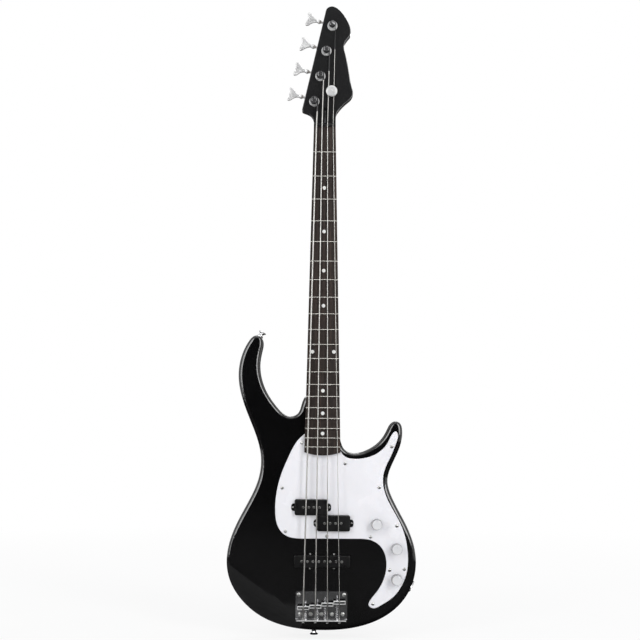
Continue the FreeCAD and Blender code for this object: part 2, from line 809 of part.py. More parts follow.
def make_head():
    throat = [Vector(across, 0, up) for across, up in head_throat_left]
    rest = [Vector(across, 0, up) for across, up in head_top_and_right]
    edges = [spline(throat), line(throat[-1], rest[0]), spline(rest), line(rest[-1], throat[0])]
    head = slab(edges, head_drop, head_back)
    rims = [edge for edge in head.Edges if abs(edge.tangentAt(edge.FirstParameter).y) < 0.5
            and edge.BoundBox.ZMax > 30]
    head = head.makeFillet(head_edge_round, rims)
    scoop_centre = Vector(-80, head_drop + 0.5 + head_scoop_radius, 2)
    head = head.cut(Part.makeCylinder(head_scoop_radius, 160, scoop_centre, RIGHT))
    left = -nut_width / 2
    shelf_back = head_drop + 1.5
    corners = [Vector(left, 0, nut_thickness), Vector(left, 0, -2), Vector(left, shelf_back, -2),
               Vector(left, shelf_back, head_ramp_end), Vector(left, head_drop, head_ramp_end)]
    ramp = [line(start, end) for start, end in zip(corners, corners[1:])]
    bend = Vector(left, head_drop * 0.72, nut_thickness + 3)
    ramp.append(Part.Arc(corners[-1], bend, corners[0]).toShape())
    shelf = Part.Face(Part.Wire(ramp)).extrude(RIGHT * nut_width)
    return head.fuse(shelf)


# Tuning machines
def gear_profile():
    """A flat outline of straight-sided teeth round the gear's axis, with a tooth facing the worm."""
    tip = gear_radius + worm_pitch_radius - worm_core_radius - gear_tip_clearance
    root = gear_radius + worm_pitch_radius - worm_tip_radius - gear_tip_clearance
    pitch = 2 * math.pi / gear_teeth
    half_pitch_angle = pitch * tooth_share / 2
    points = []
    for tooth in range(gear_teeth):
        middle = pitch * tooth
        for radius, share in ((root, 1.5), (tip, 0.6)):
            points.append((radius, middle - half_pitch_angle * share))
        for radius, share in ((tip, 0.6), (root, 1.5)):
            points.append((radius, middle + half_pitch_angle * share))
    return points


def make_gear(index):
    centre = post_centre(index)
    start = math.atan2(edge_up.z, edge_up.x)
    points = [Vector(centre.x + radius * math.cos(angle + start), 0,
                     centre.z + radius * math.sin(angle + start))
              for radius, angle in gear_profile()]
    half = gear_thickness / 2
    gear = polygon_slab(points, gear_middle - half, gear_middle + half)
    return gear.cut(deep_rod(post_radius - 1.3 + seat_clearance, centre, gear_middle - 9, gear_middle + 9))


def make_post(index):
    centre = post_centre(index)
    gear_front = gear_middle - gear_thickness / 2
    gear_back = gear_middle + gear_thickness / 2
    stem = post_radius - 1.3
    post = deep_rod(post_radius, centre, post_top, gear_front - seat_clearance)
    rim = [edge for edge in post.Edges if edge.BoundBox.YMax < post_top + 0.01]
    post = post.makeChamfer(0.6, rim)
    post = post.fuse(deep_rod(stem, centre, gear_front - seat_clearance - 0.5, gear_back))
    slot_level = winding(index)[2]
    floor = slot_level + string_diameters[index] / 2 + 0.25
    slot = Part.makeBox(4 * post_radius, floor - post_top + 1, post_slot_width,
                        Vector(-2 * post_radius, post_top - 1, -post_slot_width / 2))
    slot.rotate(Vector(0, 0, 0), FRONT, math.degrees(slot_angle(index)))
    slot.translate(Vector(centre.x, 0, centre.z))
    thread = deep_rod(1.5 + seat_clearance, centre, gear_back - 6, gear_back + 1)
    post = post.cut([slot, thread])
    keeper = place(screw(4.2, 1.8, 1.5, 5.5), Vector(centre.x, gear_back + seat_clearance, centre.z), BACK)
    write("string_post_" + string_names[index], post, make_gear(index), keeper)


def make_worm():
    """A worm along +Z about height 0: a core with one unbroken thread, and journals at both ends."""
    lead = math.pi * gear_module
    length = lead * worm_turns
    middle_radius = worm_core_radius - 0.2
    half_root = lead * tooth_share * 0.75
    half_tip = lead * tooth_share * 0.3
    path = Part.makeHelix(lead, length, middle_radius)
    section = [Vector(middle_radius, 0, -half_root), Vector(worm_tip_radius, 0, -half_tip),
               Vector(worm_tip_radius, 0, half_tip), Vector(middle_radius, 0, half_root)]
    ring = Part.Wire(Part.makePolygon(section + [section[0]]))
    sweep = Part.BRepOffsetAPI.MakePipeShell(Part.Wire(path.Edges))
    sweep.setFrenetMode(True)
    sweep.add(ring)
    sweep.build()
    sweep.makeSolid()
    thread = sweep.shape()
    thread.translate(Vector(0, 0, -length / 2))
    core = Part.makeCylinder(worm_core_radius, 2 * worm_half_length, Vector(0, 0, -worm_half_length))
    return core.fuse(thread)


def key_outline():
    """A key that flares into two round lobes, in plan: along the shaft from its neck, and across."""
    lobe_along = key_length - key_lobe_radius
    lobe_across = key_half_width - key_lobe_radius
    half = [(0.0, key_neck_half_width), (key_length * 0.2, key_neck_half_width + 0.6),
            (key_length * 0.45, key_half_width * 0.48)]
    for degrees in (125, 80, 35, -10):
        angle = math.radians(degrees)
        half.append((lobe_along + key_lobe_radius * math.cos(angle),
                     lobe_across + key_lobe_radius * math.sin(angle)))
    half += [(key_length - 1.1, key_half_width * 0.4), (key_length - 1.5, 0.0)]
    other = [(along, -across) for along, across in reversed(half[:-1])]
    return half, other


def make_key(index, worm):
    """A key on its shaft, with the worm between the plate's ears."""
    half, other = key_outline()
    points = [Vector(across, 0, along) for along, across in half + other]
    edges = [spline(points), line(points[-1], points[0])]
    leaf = slab(edges, -key_thickness / 2, key_thickness / 2)
    rims = [edge for edge in leaf.Edges if abs(edge.tangentAt(edge.FirstParameter).y) < 0.5
            and edge.BoundBox.ZMax > 1]
    leaf = leaf.makeFillet(key_thickness * 0.36, rims)
    leaf.translate(UP * key_reach)
    shaft_start = worm_half_length - 0.5
    shaft = Part.makeCylinder(key_shaft_radius, key_reach + 1.5 - shaft_start, Vector(0, 0, shaft_start))
    collar = lathe([(0, key_reach - 7), (key_shaft_radius + 0.2, key_reach - 7), (4.4, key_reach - 3.5),
                    (4.4, key_reach - 2.2), (3.6, key_reach - 0.6), (3.2, key_reach + 1.2),
                    (0, key_reach + 1.2)])
    tail_end = -worm_half_length - ear_thickness - 0.5
    tail = Part.makeCylinder(key_shaft_radius, ear_thickness + 0.6, Vector(0, 0, tail_end))
    whole = worm.fuse([shaft, tail, collar, leaf])
    point = post_centre(index) + edge_up * gear_centre_distance
    point.y = gear_middle
    turn = FreeCAD.Matrix(edge_up.x, 0, key_out.x, point.x, 0, 1, 0, point.y,
                          edge_up.z, 0, key_out.z, point.z, 0, 0, 0, 1)
    whole.Placement = FreeCAD.Placement(turn)
    write("tuning_key_" + string_names[index], whole)


def tuner_screw_points(index):
    middle = post_centre(index) + edge_up * (gear_centre_distance * 0.25)
    along = tuner_plate_length / 2 - 3.4
    across = tuner_plate_width / 2 - 3.2
    return [middle + edge_up * (along * side) + key_out * (across * way)
            for side in (-1, 1) for way in (-1, 1)]


def tuner_frame(shape, index):
    """Turn a shape drawn with X along the head's edge and Z along the key to its place behind a post."""
    point = post_centre(index) + edge_up * (gear_centre_distance * 0.25)
    turn = FreeCAD.Matrix(edge_up.x, 0, key_out.x, point.x, 0, 1, 0, head_back,
                          edge_up.z, 0, key_out.z, point.z, 0, 0, 0, 1)
    shape.Placement = FreeCAD.Placement(turn)
    return shape


def make_tuner_plate(index):
    """A plate with two upright ears that carry the worm."""
    base = Part.makeBox(tuner_plate_length, tuner_plate_thickness, tuner_plate_width,
                        Vector(-tuner_plate_length / 2, 0, -tuner_plate_width / 2))
    upright = [edge for edge in base.Edges if abs(edge.tangentAt(edge.FirstParameter).y) > 0.9]
    base = base.makeFillet(3.0, upright)
    worm_x = gear_centre_distance * 0.75
    worm_level = gear_middle - head_back
    ear_half = key_shaft_radius + 2.6
    ears = []
    for way in (-1, 1):
        near = worm_half_length + 0.2 if way > 0 else -worm_half_length - 0.2 - ear_thickness
        foot = Part.makeBox(2 * ear_half, worm_level, ear_thickness, Vector(worm_x - ear_half, 0, near))
        top = Part.makeCylinder(ear_half, ear_thickness, Vector(worm_x, worm_level, near))
        ears += [foot, top]
    plate = base.fuse(ears).removeSplitter()
    bore = Part.makeCylinder(key_shaft_radius + running_clearance, 60, Vector(worm_x, worm_level, -30))
    post_x = -gear_centre_distance * 0.25
    hole = Part.makeCylinder(post_radius + 0.3, 9, Vector(post_x, -1, 0), BACK)
    plate = tuner_frame(plate.cut([bore, hole]), index)
    holes = [deep_rod(tuner_screw_radius + running_clearance, point, head_back - 2, head_back + 5)
             for point in tuner_screw_points(index)]
    return plate.cut(holes)


def make_tuners():
    worm = make_worm()
    bushings = []
    plates = []
    screws = []
    plate_screw = screw(2.4, 1.2, tuner_screw_radius, 8)
    for index in range(len(string_names)):
        make_key(index, worm)
        make_post(index)
        centre = post_centre(index)
        flange = deep_rod(bushing_flange_radius, centre, bushing_top, head_drop)
        rim = [edge for edge in flange.Edges if edge.BoundBox.YMax < bushing_top + 0.01]
        flange = flange.makeChamfer(bushing_flange_thickness * 0.6, rim)
        sleeve = deep_rod(bushing_sleeve_radius, centre, head_drop - 0.5, head_drop + bushing_sleeve_length)
        bore = deep_rod(post_radius + running_clearance, centre, post_top, head_back)
        bushings.append(flange.fuse(sleeve).cut(bore))
        plates.append(make_tuner_plate(index))
        for point in tuner_screw_points(index):
            seat = Vector(point.x, head_back + tuner_plate_thickness, point.z)
            screws.append(place(plate_screw, seat, BACK))
    write("tuner_bushings", *bushings)
    write("tuner_plates", *plates)
    write("tuner_screws", *screws)


def make_string_tree():
    centre = Vector(tree_place[0], 0, tree_place[1])
    under = head_drop - tree_string_depth
    disc = lathe([(0, 0), (tree_radius, 0), (tree_radius, tree_thickness * 0.4),
                  (tree_radius * 0.86, tree_thickness * 0.85), (tree_radius * 0.6, tree_thickness),
                  (0, tree_thickness)])
    stem = Part.makeCylinder(tree_post_radius, tree_string_depth, Vector(0, 0, -tree_string_depth))
    hole = Part.makeCylinder(1.5 + running_clearance, 30, Vector(0, 0, -20))
    retainer = disc.fuse(stem).cut(hole)
    seat = Vector(centre.x, under, centre.z)
    keeper = place(screw(3.0, 1.6, 1.5, 16), seat + FRONT * tree_thickness, FRONT)
    write("string_tree", place(retainer, seat, FRONT), keeper)


# Body
def arm_contour_bar():
    """A long bar, flat on one side of the contour's line and falling away on an arc beyond it."""
    start = plan(arm_contour_line[0], body_front)
    end = plan(arm_contour_line[1], body_front)
    along = (end - start).normalize()
    outward = Vector(along.z, 0, -along.x)
    reach = math.sqrt(arm_contour_radius ** 2 - arm_contour_width ** 2)
    middle_reach = math.sqrt(arm_contour_radius ** 2 - arm_contour_width ** 2 / 4)
    beyond = 30.0
    far = 600.0
    edge = start - along * far
    middle = edge + outward * (arm_contour_width / 2) + BACK * (arm_contour_radius - middle_reach)
    lip = edge + outward * arm_contour_width + BACK * (arm_contour_radius - reach)
    rim = lip + outward * beyond + BACK * (beyond * arm_contour_width / reach)
    deep_rim = Vector(rim.x, body_back + 5, rim.z)
    inner = edge - outward * far
    deep_inner = Vector(inner.x, body_back + 5, inner.z)
    edges = [Part.Arc(edge, middle, lip).toShape()]
    corners = [lip, rim, deep_rim, deep_inner, inner, edge]
    edges += [line(first, second) for first, second in zip(corners, corners[1:])]
    return Part.Face(Part.Wire(edges)).extrude(along * (2 * far + 300))


def pocket_tool(clearance, front, back, length_past):
    """The neck's plan with a clearance all round, reaching past the body's upper end."""
    low = -board_length - clearance
    high = plan((0, heel_line)).z + length_past
    low_half = board_half_width(-low) + clearance
    high_half = board_half_width(-high) + clearance
    points = [Vector(-low_half, 0, low), Vector(low_half, 0, low), Vector(high_half, 0, high),
              Vector(-high_half, 0, high)]
    return polygon_slab(points, front, back)


def rim_edges(shape):
    """Every edge that runs round the body's front or back."""
    return [edge for edge in shape.Edges if abs(edge.tangentAt(edge.FirstParameter).y) < 0.7
            and edge.Length > 1]


def split_centre(number, level=0.0):
    """Middle of one half of the split pickup. The bass half sits above the treble half and to its left."""
    treble = plan(split_pickup_place, level)
    if number == 1:
        return treble
    return treble - RIGHT * split_half_shift + UP * (split_pickup_size[1] + split_half_gap)


def split_pickup_plan(number, grow, front, back):
    """One half of the split pickup in plan, with its two screw ears."""
    centre = split_centre(number)
    width = split_pickup_size[0] + 2 * grow
    height = split_pickup_size[1] + 2 * grow
    block = rounded_slab(centre, width, height, pickup_corner + grow, front, back)
    reach = split_pickup_size[0] + 2 * split_ear_reach + 2 * grow
    ear_height = 2 * split_ear_half_height + 2 * grow
    ears = rounded_slab(centre, reach, ear_height, split_ear_reach * 0.8, front, back)
    return block, ears


def bar_pickup_plan(grow, front, back):
    centre = plan(bar_pickup_place)
    width = bar_pickup_size[0] + 2 * grow
    height = bar_pickup_size[1] + 2 * grow
    block = rounded_slab(centre, width, height, pickup_corner + grow, front, back)
    ears = []
    for side in (-1, 1):
        middle = centre + RIGHT * (bar_ear_offset * side)
        ear_height = height + 2 * bar_ear_reach
        ears.append(rounded_slab(middle, bar_ear_width + 2 * grow, ear_height, bar_ear_corner, front, back))
    return block, ears


def split_screw_points(number):
    centre = split_centre(number)
    reach = split_pickup_size[0] / 2 + split_ear_reach * 0.52
    return [centre - RIGHT * reach, centre + RIGHT * reach]


def bar_screw_points():
    centre = plan(bar_pickup_place)
    reach = bar_pickup_size[1] / 2 + bar_ear_reach * 0.45
    return [centre + RIGHT * (bar_ear_offset * side) + UP * (reach * way)
            for side in (-1, 1) for way in (-1, 1)]


def neck_screw_points():
    centre = plan(neck_plate_place)
    across = neck_plate_size[0] / 2 - neck_screw_inset
    along = neck_plate_size[1] / 2 - neck_screw_inset
    return [centre + RIGHT * (across * side) + UP * (along * way) for side in (-1, 1) for way in (-1, 1)]


def bridge_screw_points():
    rear = [plan((across, bridge_rear_screw_row)) for across in bridge_rear_screws]
    across, up = bridge_front_screw
    return rear + [plan((-across, up)), plan((across, up))]


def jack_axis():
    """The jack's direction, out of the body, and the middle of the flat that its plate sits on."""
    direction = Vector(jack_direction[0], 0, jack_direction[1]).normalize()
    return direction, plan(knob_places[2], body_middle) + direction * jack_flat_distance


def jack_screw_points():
    direction, flat = jack_axis()
    return [flat + BACK * ((jack_plate_radius - 3.2) * side) for side in (-1, 1)]


def button_axes():
    """The seat and outward direction of each strap button."""
    ends = ((horn_button_place, horn_button_direction), (end_button_place, end_button_direction))
    return [(plan(seat, body_middle), Vector(way[0], 0, way[1]).normalize()) for seat, way in ends]


def make_body():
    outline = spline([plan(point) for point in body_outline], closed=True)
    blank = slab([outline], body_front, body_back)
    blank = blank.common(arm_contour_bar())
    blank = blank.makeFillet(body_round, rim_edges(blank))
    scoop_centre = plan(belly_scoop_place, body_back + belly_scoop_radius - belly_scoop_depth)
    blank = blank.cut(Part.makeSphere(belly_scoop_radius, scoop_centre))
    above_heel = Part.makeBox(64, body_thickness + 20, 60, plan((-32, heel_line), body_front - 10))
    open_side = Part.makeBox(60, neck_depth_at_heel + 20, 150, plan((0, treble_wall_end), -20))
    pocket = pocket_tool(pocket_clearance, -20, neck_depth_at_heel, 40).fuse(open_side).removeSplitter()
    blank = blank.cut(above_heel).cut(pocket)
    for room in cavity_tools():
        blank = blank.cut(room)
    guard_hole_end = guard_front + guard_screw_length + 1
    bridge_hole_end = plate_front + bridge_screw_length + 1
    cavity_floor = body_front + pickup_cavity_depth
    holes = [deep_rod(guard_screw_radius + running_clearance, plan(point), 0, guard_hole_end)
             for point in guard_screw_places]
    holes += [deep_rod(bridge_screw_radius + running_clearance, point, 0, bridge_hole_end)
              for point in bridge_screw_points()]
    holes += [deep_rod(neck_screw_radius + bolt_clearance, point, neck_depth_at_heel - 1, body_back + 5)
              for point in neck_screw_points()]
    holes += [deep_rod(pickup_screw_radius + bolt_clearance, point, cavity_floor - 1, cavity_floor + 9)
              for point in pickup_screw_points()]
    write("body", blank.cut(holes))


def cavity_tools():
    """The rooms under pickups and controls, the lead ways, the jack hole and the button seats."""
    tools = []
    for number in (0, 1):
        tools += split_pickup_plan(number, pickup_clearance + 0.5, -1, body_front + pickup_cavity_depth)
    block, ears = bar_pickup_plan(pickup_clearance, -1, body_front + pickup_cavity_depth)
    tools += [block] + ears
    knobs = [plan(point) for point in knob_places]
    floor = body_front + control_cavity_depth
    tools += [deep_rod(control_cavity_radius, point, 0, floor) for point in knobs]
    treble_half = split_centre(1)
    tools.append(channel(knobs[0], knobs[1], cavity_channel_width, 0, floor))
    tools.append(channel(knobs[1], knobs[2], cavity_channel_width, 0, floor))
    tools.append(channel(treble_half, knobs[0], lead_channel_width, 0, body_front + lead_channel_depth))
    bar = plan(bar_pickup_place, body_front + pickup_cavity_depth - 2.0)
    tools.append(rod(lead_hole_radius, bar + RIGHT * 40, Vector(knobs[1].x, bar.y, bar.z)))
    direction, flat = jack_axis()
    tools.append(rod(jack_hole_radius, flat - direction * 20, flat + direction * 10))
    tools.append(rod(jack_plate_radius + 0.4, flat, flat + direction * 14))
    tools += [rod(jack_screw_radius + running_clearance, point - direction * 13, point + direction * 1)
              for point in jack_screw_points()]
    for seat, out in button_axes():
        tools.append(rod(button_cap_radius + 1, seat, seat + out * 8))
        screw_end = seat - out * (button_screw_length - 6)
        tools.append(rod(button_screw_radius + running_clearance, screw_end, seat + out * 5))
    return tools


def pickup_screw_points():
    points = bar_screw_points()
    for number in (0, 1):
        points += split_screw_points(number)
    return points


def channel(start, end, width, front, back):
    """A straight slot in plan between two points."""
    along = (end - start).normalize()
    side = Vector(along.z, 0, -along.x) * (width / 2)
    points = [start - side, start + side, end + side, end - side]
    for point in points:
        point.y = 0
    return polygon_slab(points, front, back)


def make_neck_plate():
    width, height, thickness = neck_plate_size
    plate = rounded_slab(plan(neck_plate_place), width, height, 5.0, body_back, body_back + thickness)
    rim = [edge for edge in plate.Edges if edge.BoundBox.YMin > body_back + thickness - 0.01]
    plate = plate.makeChamfer(0.5, rim)
    holes = [deep_rod(neck_screw_radius + bolt_clearance, point, body_back - 1, body_back + 5)
             for point in neck_screw_points()]
    write("neck_plate", plate.cut(holes))
    bolt = screw(4.4, 2.2, neck_screw_radius, neck_screw_length - 8)
    write("neck_screws", *[place(bolt, Vector(point.x, body_back + thickness, point.z), BACK)
                           for point in neck_screw_points()])


# Pickguard and controls
def make_pickguard():
    outline = [plan(point) for point in guard_outline]
    guard = slab([spline(outline), line(outline[-1], outline[0])], guard_front, body_front)
    rims = [edge for edge in guard.Edges if edge.BoundBox.YMax < guard_front + 0.01 and edge.Length > 300]
    guard = guard.makeChamfer(guard_bevel, rims)
    low = -board_length
    half = board_half_width(board_length) + board_gap
    high = plan((0, heel_line)).z
    high_half = board_half_width(-high) + board_gap
    tip = Vector(0, 0, low - board_end_bulge - board_gap)
    end = Part.Arc(Vector(half, 0, low), tip, Vector(-half, 0, low)).toShape()
    around_board = slab([end, line(Vector(-half, 0, low), Vector(-high_half, 0, high)),
                         line(Vector(-high_half, 0, high), Vector(high_half, 0, high)),
                         line(Vector(high_half, 0, high), Vector(half, 0, low))], -10, 10)
    tools = [around_board]
    for number in (0, 1):
        tools += split_pickup_plan(number, pickup_clearance, -5, 10)
    tools += [deep_rod(pot_bushing_radius + seat_clearance, plan(point), -5, 10) for point in knob_places]
    tools += [deep_rod(guard_screw_radius + running_clearance, plan(point), -5, 10)
              for point in guard_screw_places]
    write("pickguard", guard.cut(tools))
    fastener = screw(guard_screw_head_radius, 1.7, guard_screw_radius, guard_screw_length)
    write("pickguard_screws", *[place(fastener, plan(point, guard_front), FRONT)
                                for point in guard_screw_places])


def make_controls():
    pots = []
    for number, point in enumerate(knob_places):
        centre = plan(point)
        can = deep_rod(pot_radius, centre, body_front, body_front + pot_depth)
        back_rim = [edge for edge in can.Edges if edge.BoundBox.YMin > body_front + pot_depth - 0.01]
        can = can.makeFillet(1.0, back_rim)
        bushing = deep_rod(pot_bushing_radius, centre, guard_front - pot_bushing_height, body_front + 1)
        lugs = Part.makeBox(12, 1.0, 4, Vector(centre.x - 6, body_front + 2, centre.z - pot_radius - 3))
        bore = deep_rod(pot_shaft_radius + running_clearance, centre, -20, body_front + pot_depth - 2)
        pots.append(can.fuse([bushing, lugs]).cut(bore))
        nut = prism_along_z(6, pot_nut_radius, Vector(0, 0, 0), pot_nut_thickness)
        nut = nut.cut(Part.makeCylinder(pot_bushing_radius + seat_clearance, 9, Vector(0, 0, -2)))
        pots.append(place(nut, plan(point, guard_front), FRONT))
        make_knob(number, centre)
    write("potentiometers", *pots)


def make_knob(number, centre):
    """A hollow knob and the control shaft that it sits on."""
    base = guard_front - knob_lift
    profile = [(0, knob_height), (knob_radius * 0.78, knob_height), (knob_radius * 0.88, knob_height - 0.5),
               (knob_radius * 0.93, knob_height - 1.4), (knob_radius * 0.985, 2.4), (knob_radius, 1.6),
               (knob_radius, 0), (0, 0)]
    knob = lathe(profile)
    hollow = Part.makeCylinder(knob_radius - knob_wall, pot_bushing_height + 0.6)
    socket = Part.makeCylinder(pot_shaft_radius + seat_clearance, knob_height - 2.5)
    pointer = Part.makeBox(1.0, knob_radius, 0.8, Vector(-0.5, knob_radius * 0.28, knob_height - 0.6))
    knob = knob.cut([hollow, socket, pointer])
    shaft = deep_rod(pot_shaft_radius, centre, base - knob_height + 2.6, body_front + pot_depth - 2.2)
    write(knob_names[number], place(knob, Vector(centre.x, base, centre.z), FRONT), shaft)


knob_names = ("neck_volume_knob", "bridge_volume_knob", "tone_knob")


# Pickups
def split_pole_points(number):
    """Two poles beside each of the two strings over one half of the split pickup."""
    return pole_points((2 * number, 2 * number + 1), split_centre(number).z)


def pole_points(indexes, height):
    return [string_over(index, height) + RIGHT * (pole_half_gap * side)
            for index in indexes for side in (-1, 1)]


def make_split_pickup(number, name):
    face = body_front - split_pickup_top
    block = split_pickup_plan(number, 0, face, pickup_back)[0]
    ears = split_pickup_plan(number, 0, pickup_ear_front, pickup_ear_front + pickup_ear_thickness)[1]
    make_pickup(name, block, [ears], split_pole_points(number), split_centre(number), split_pickup_size, face,
                split_screw_points(number))


def make_bar_pickup():
    centre = plan(bar_pickup_place)
    face = body_front - bar_pickup_top
    block = bar_pickup_plan(0, face, pickup_back)[0]
    ears = bar_pickup_plan(0, pickup_ear_front, pickup_ear_front + pickup_ear_thickness)[1]
    poles = pole_points(range(len(string_names)), centre.z)
    make_pickup("bridge_pickup", block, ears, poles, centre, bar_pickup_size, face, bar_screw_points())


def string_over(index, height):
    """Where a string passes over a height, seen from the front."""
    start = nut_point(index)
    end = saddle_point(index)
    share = (height - start.z) / (end.z - start.z)
    return Vector(start.x + (end.x - start.x) * share, 0, height)


def make_pickup(name, block, ears, poles, centre, size, face, screw_points):
    """A hollow cover with low screw ears, the coil in it, and the pole pieces with the mounting screws."""
    front_rim = [edge for edge in block.Edges if edge.BoundBox.YMax < face + 0.01]
    cover = block.makeFillet(pickup_edge_round, front_rim).fuse(ears)
    inner_front = face + pickup_wall
    inner_size = [side - 2 * pickup_wall for side in size]
    room = rounded_slab(centre, *inner_size, pickup_corner, inner_front, pickup_back)
    pole_holes = [deep_rod(pole_radius + seat_clearance, point, face - 3, pickup_back) for point in poles]
    hole_radius = pickup_screw_radius + bolt_clearance
    screw_holes = [deep_rod(hole_radius, point, pickup_ear_front - 5, pickup_ear_front + 20)
                   for point in screw_points]
    write(name + "_cover", cover.cut([room] + pole_holes + screw_holes))
    coil_size = [side - 2 * coil_gap for side in inner_size]
    coil_front = inner_front + running_clearance
    coil = rounded_slab(centre, *coil_size, pickup_corner, coil_front, pickup_back - coil_recess)
    write(name + "_coil", coil.cut(pole_holes))
    metal = []
    for point in poles:
        pole = deep_rod(pole_radius, point, face - pole_proud, pickup_back - 2)
        rim = [edge for edge in pole.Edges if edge.BoundBox.YMax < face - pole_proud + 0.01]
        metal.append(pole.makeChamfer(pole_chamfer, rim))
    fastener = screw(pickup_screw_head_radius, 1.4, pickup_screw_radius, pickup_screw_length)
    metal += [place(fastener, Vector(point.x, pickup_ear_front, point.z), FRONT) for point in screw_points]
    write(name + "_poles", *metal)


# Bridge
def make_bridge():
    """The bridge plate with saddles, intonation screws and springs. The plate's own screws are returned."""
    front = saddle_line + bridge_front_edge
    floor = Part.makeBox(bridge_width, bridge_plate_thickness, bridge_length,
                         Vector(-bridge_width / 2, plate_front, wall_back))
    corners = [edge for edge in floor.Edges if abs(edge.tangentAt(edge.FirstParameter).y) > 0.9
               and edge.CenterOfMass.z > front - 1]
    floor = floor.makeFillet(4.0, corners)
    wall = Part.makeBox(bridge_width, bridge_wall_height, bridge_wall_thickness,
                        Vector(-bridge_width / 2, wall_top, wall_back))
    top_corners = [edge for edge in wall.Edges if abs(edge.tangentAt(edge.FirstParameter).z) > 0.9
                   and edge.CenterOfMass.y < wall_top + 1]
    wall = wall.makeFillet(3.0, top_corners)
    plate = floor.fuse(wall).removeSplitter()
    inner_bend = [edge for edge in plate.Edges if abs(edge.CenterOfMass.z - wall_inner) < 0.01
                  and abs(edge.CenterOfMass.y - plate_front) < 0.01]
    outer_bend = [edge for edge in plate.Edges if abs(edge.CenterOfMass.z - wall_back) < 0.01
                  and abs(edge.CenterOfMass.y - body_front) < 0.01 and edge.Length > 5]
    plate = plate.makeFillet(1.0, inner_bend + outer_bend)
    tools = [deep_rod(bridge_screw_radius + running_clearance, point, -20, 20)
             for point in bridge_screw_points()]
    for index in range(len(string_names)):
        low = Vector(bridge_string_x(index), body_front - string_hole_height, wall_back - 5)
        tools.append(rod(string_diameters[index] / 2 + 0.3, low, low + UP * 12))
        start = intonation_start(index) - UP * 5
        tools.append(rod(intonation_screw_radius + 0.15, start, start + UP * 12))
    write("bridge_plate", plate.cut(tools))
    fastener = screw(3.4, 2.0, bridge_screw_radius, bridge_screw_length)
    for index in range(len(string_names)):
        make_saddle(index)
        write("intonation_spring_" + string_names[index], make_spring(index))
    return [place(fastener, Vector(point.x, plate_front, point.z), FRONT) for point in bridge_screw_points()]


def intonation_start(index):
    """Where an intonation screw's head meets the back of the bridge wall."""
    toward_middle = 1 if index < 2 else -1
    return Vector(bridge_string_x(index) + intonation_offset * toward_middle, intonation_level, wall_back)


def make_saddle(index):
    name = string_names[index]
    seat = saddle_point(index)
    top = -string_height_at_saddle - saddle_top_above_string_seat
    low_corner = Vector(seat.x - saddle_width / 2, top, seat.z - saddle_length / 2)
    block = Part.makeBox(saddle_width, saddle_height, saddle_length, low_corner)
    top_edges = [edge for edge in block.Edges if edge.BoundBox.YMax < top + 0.01
                 and edge.BoundBox.XLength > 1]
    block = block.makeFillet(1.3, top_edges)
    trough = Part.makeBox(saddle_width - 2, 2 * saddle_trough_depth, saddle_trough_width,
                          Vector(seat.x - saddle_width / 2 + 1, top - saddle_trough_depth,
                                 seat.z - saddle_trough_width / 2))
    groove_radius = string_diameters[index] / 2 + 0.3
    toward_nut = (nut_point(index) - seat).normalize()
    behind = Vector(seat.x, body_front - string_hole_height, wall_inner + 4.5)
    toward_wall = (behind - seat).normalize()
    tools = [trough]
    for direction in (toward_nut, toward_wall):
        tools.append(string_slot(seat - direction * 0.5, direction, groove_radius))
    head_seat = intonation_start(index)
    tools.append(rod(intonation_screw_radius + running_clearance, head_seat, head_seat + UP * 60))
    feet = []
    for side in (-1, 1):
        spot = seat + RIGHT * (height_screw_offset * side)
        tools.append(deep_rod(height_screw_radius + seat_clearance, spot, top - 1, top + saddle_height + 1))
        foot = deep_rod(height_screw_radius, spot, top + height_screw_recess, plate_front - 0.05)
        key = prism_along_z(6, 0.85, Vector(0, 0, 0), 2.0)
        key = place(key, Vector(spot.x, top + height_screw_recess + 1.5, spot.z), FRONT)
        feet.append(foot.cut(key))
    write("saddle_" + name, block.cut(tools), *feet)
    length = seat.z + saddle_length / 2 + intonation_past_saddle - wall_back
    bolt = screw(intonation_head_radius, 2.2, intonation_screw_radius, length)
    write("intonation_screw_" + name, place(bolt, head_seat - UP * 0.05, Vector(0, 0, -1)))


def make_spring(index):
    """An unbroken spring round an intonation screw, from the bridge wall to the saddle."""
    axis = intonation_start(index)
    low = wall_inner + 0.05
    high = saddle_point(index).z - saddle_length / 2 - 0.05
    straight = 2 * spring_wire_radius
    bend = 1.1
    turned_in_bend = math.radians(30)
    total = 2 * math.pi * spring_curls
    rise = (high - low - 2 * straight - 2 * bend) / (total - 2 * turned_in_bend)

    def on_curl(turned):
        height = low + straight + bend + rise * (turned - turned_in_bend)
        across = Vector(math.cos(turned), math.sin(turned), 0) * spring_coil_radius
        heading = Vector(-across.y, across.x, rise).normalize()
        return Vector(axis.x, axis.y, height) + across, heading

    count = math.ceil((total - 2 * turned_in_bend) / (math.pi / 2))
    span = (total - 2 * turned_in_bend) / count
    stations = [on_curl(turned_in_bend + span * step) for step in range(count + 1)]
    foot = Vector(axis.x + spring_coil_radius, axis.y, low)
    head = Vector(axis.x + spring_coil_radius, axis.y, high)
    edges = [line(foot, foot + UP * straight)]
    edges += biarc(foot + UP * straight, UP, *stations[0])
    for (point, heading), (next_point, next_heading) in zip(stations, stations[1:]):
        edges += biarc(point, heading, next_point, next_heading)
    edges += biarc(*stations[-1], head - UP * straight, UP)
    edges.append(line(head - UP * straight, head))
    solid, length, share = tube(edges, spring_wire_radius)
    gap = least_gap(edges, 2 * spring_wire_radius, 2 * math.pi * spring_coil_radius)
    print("spring", string_names[index], "volume share", round(share, 4), "least gap", round(gap, 3))
    return solid


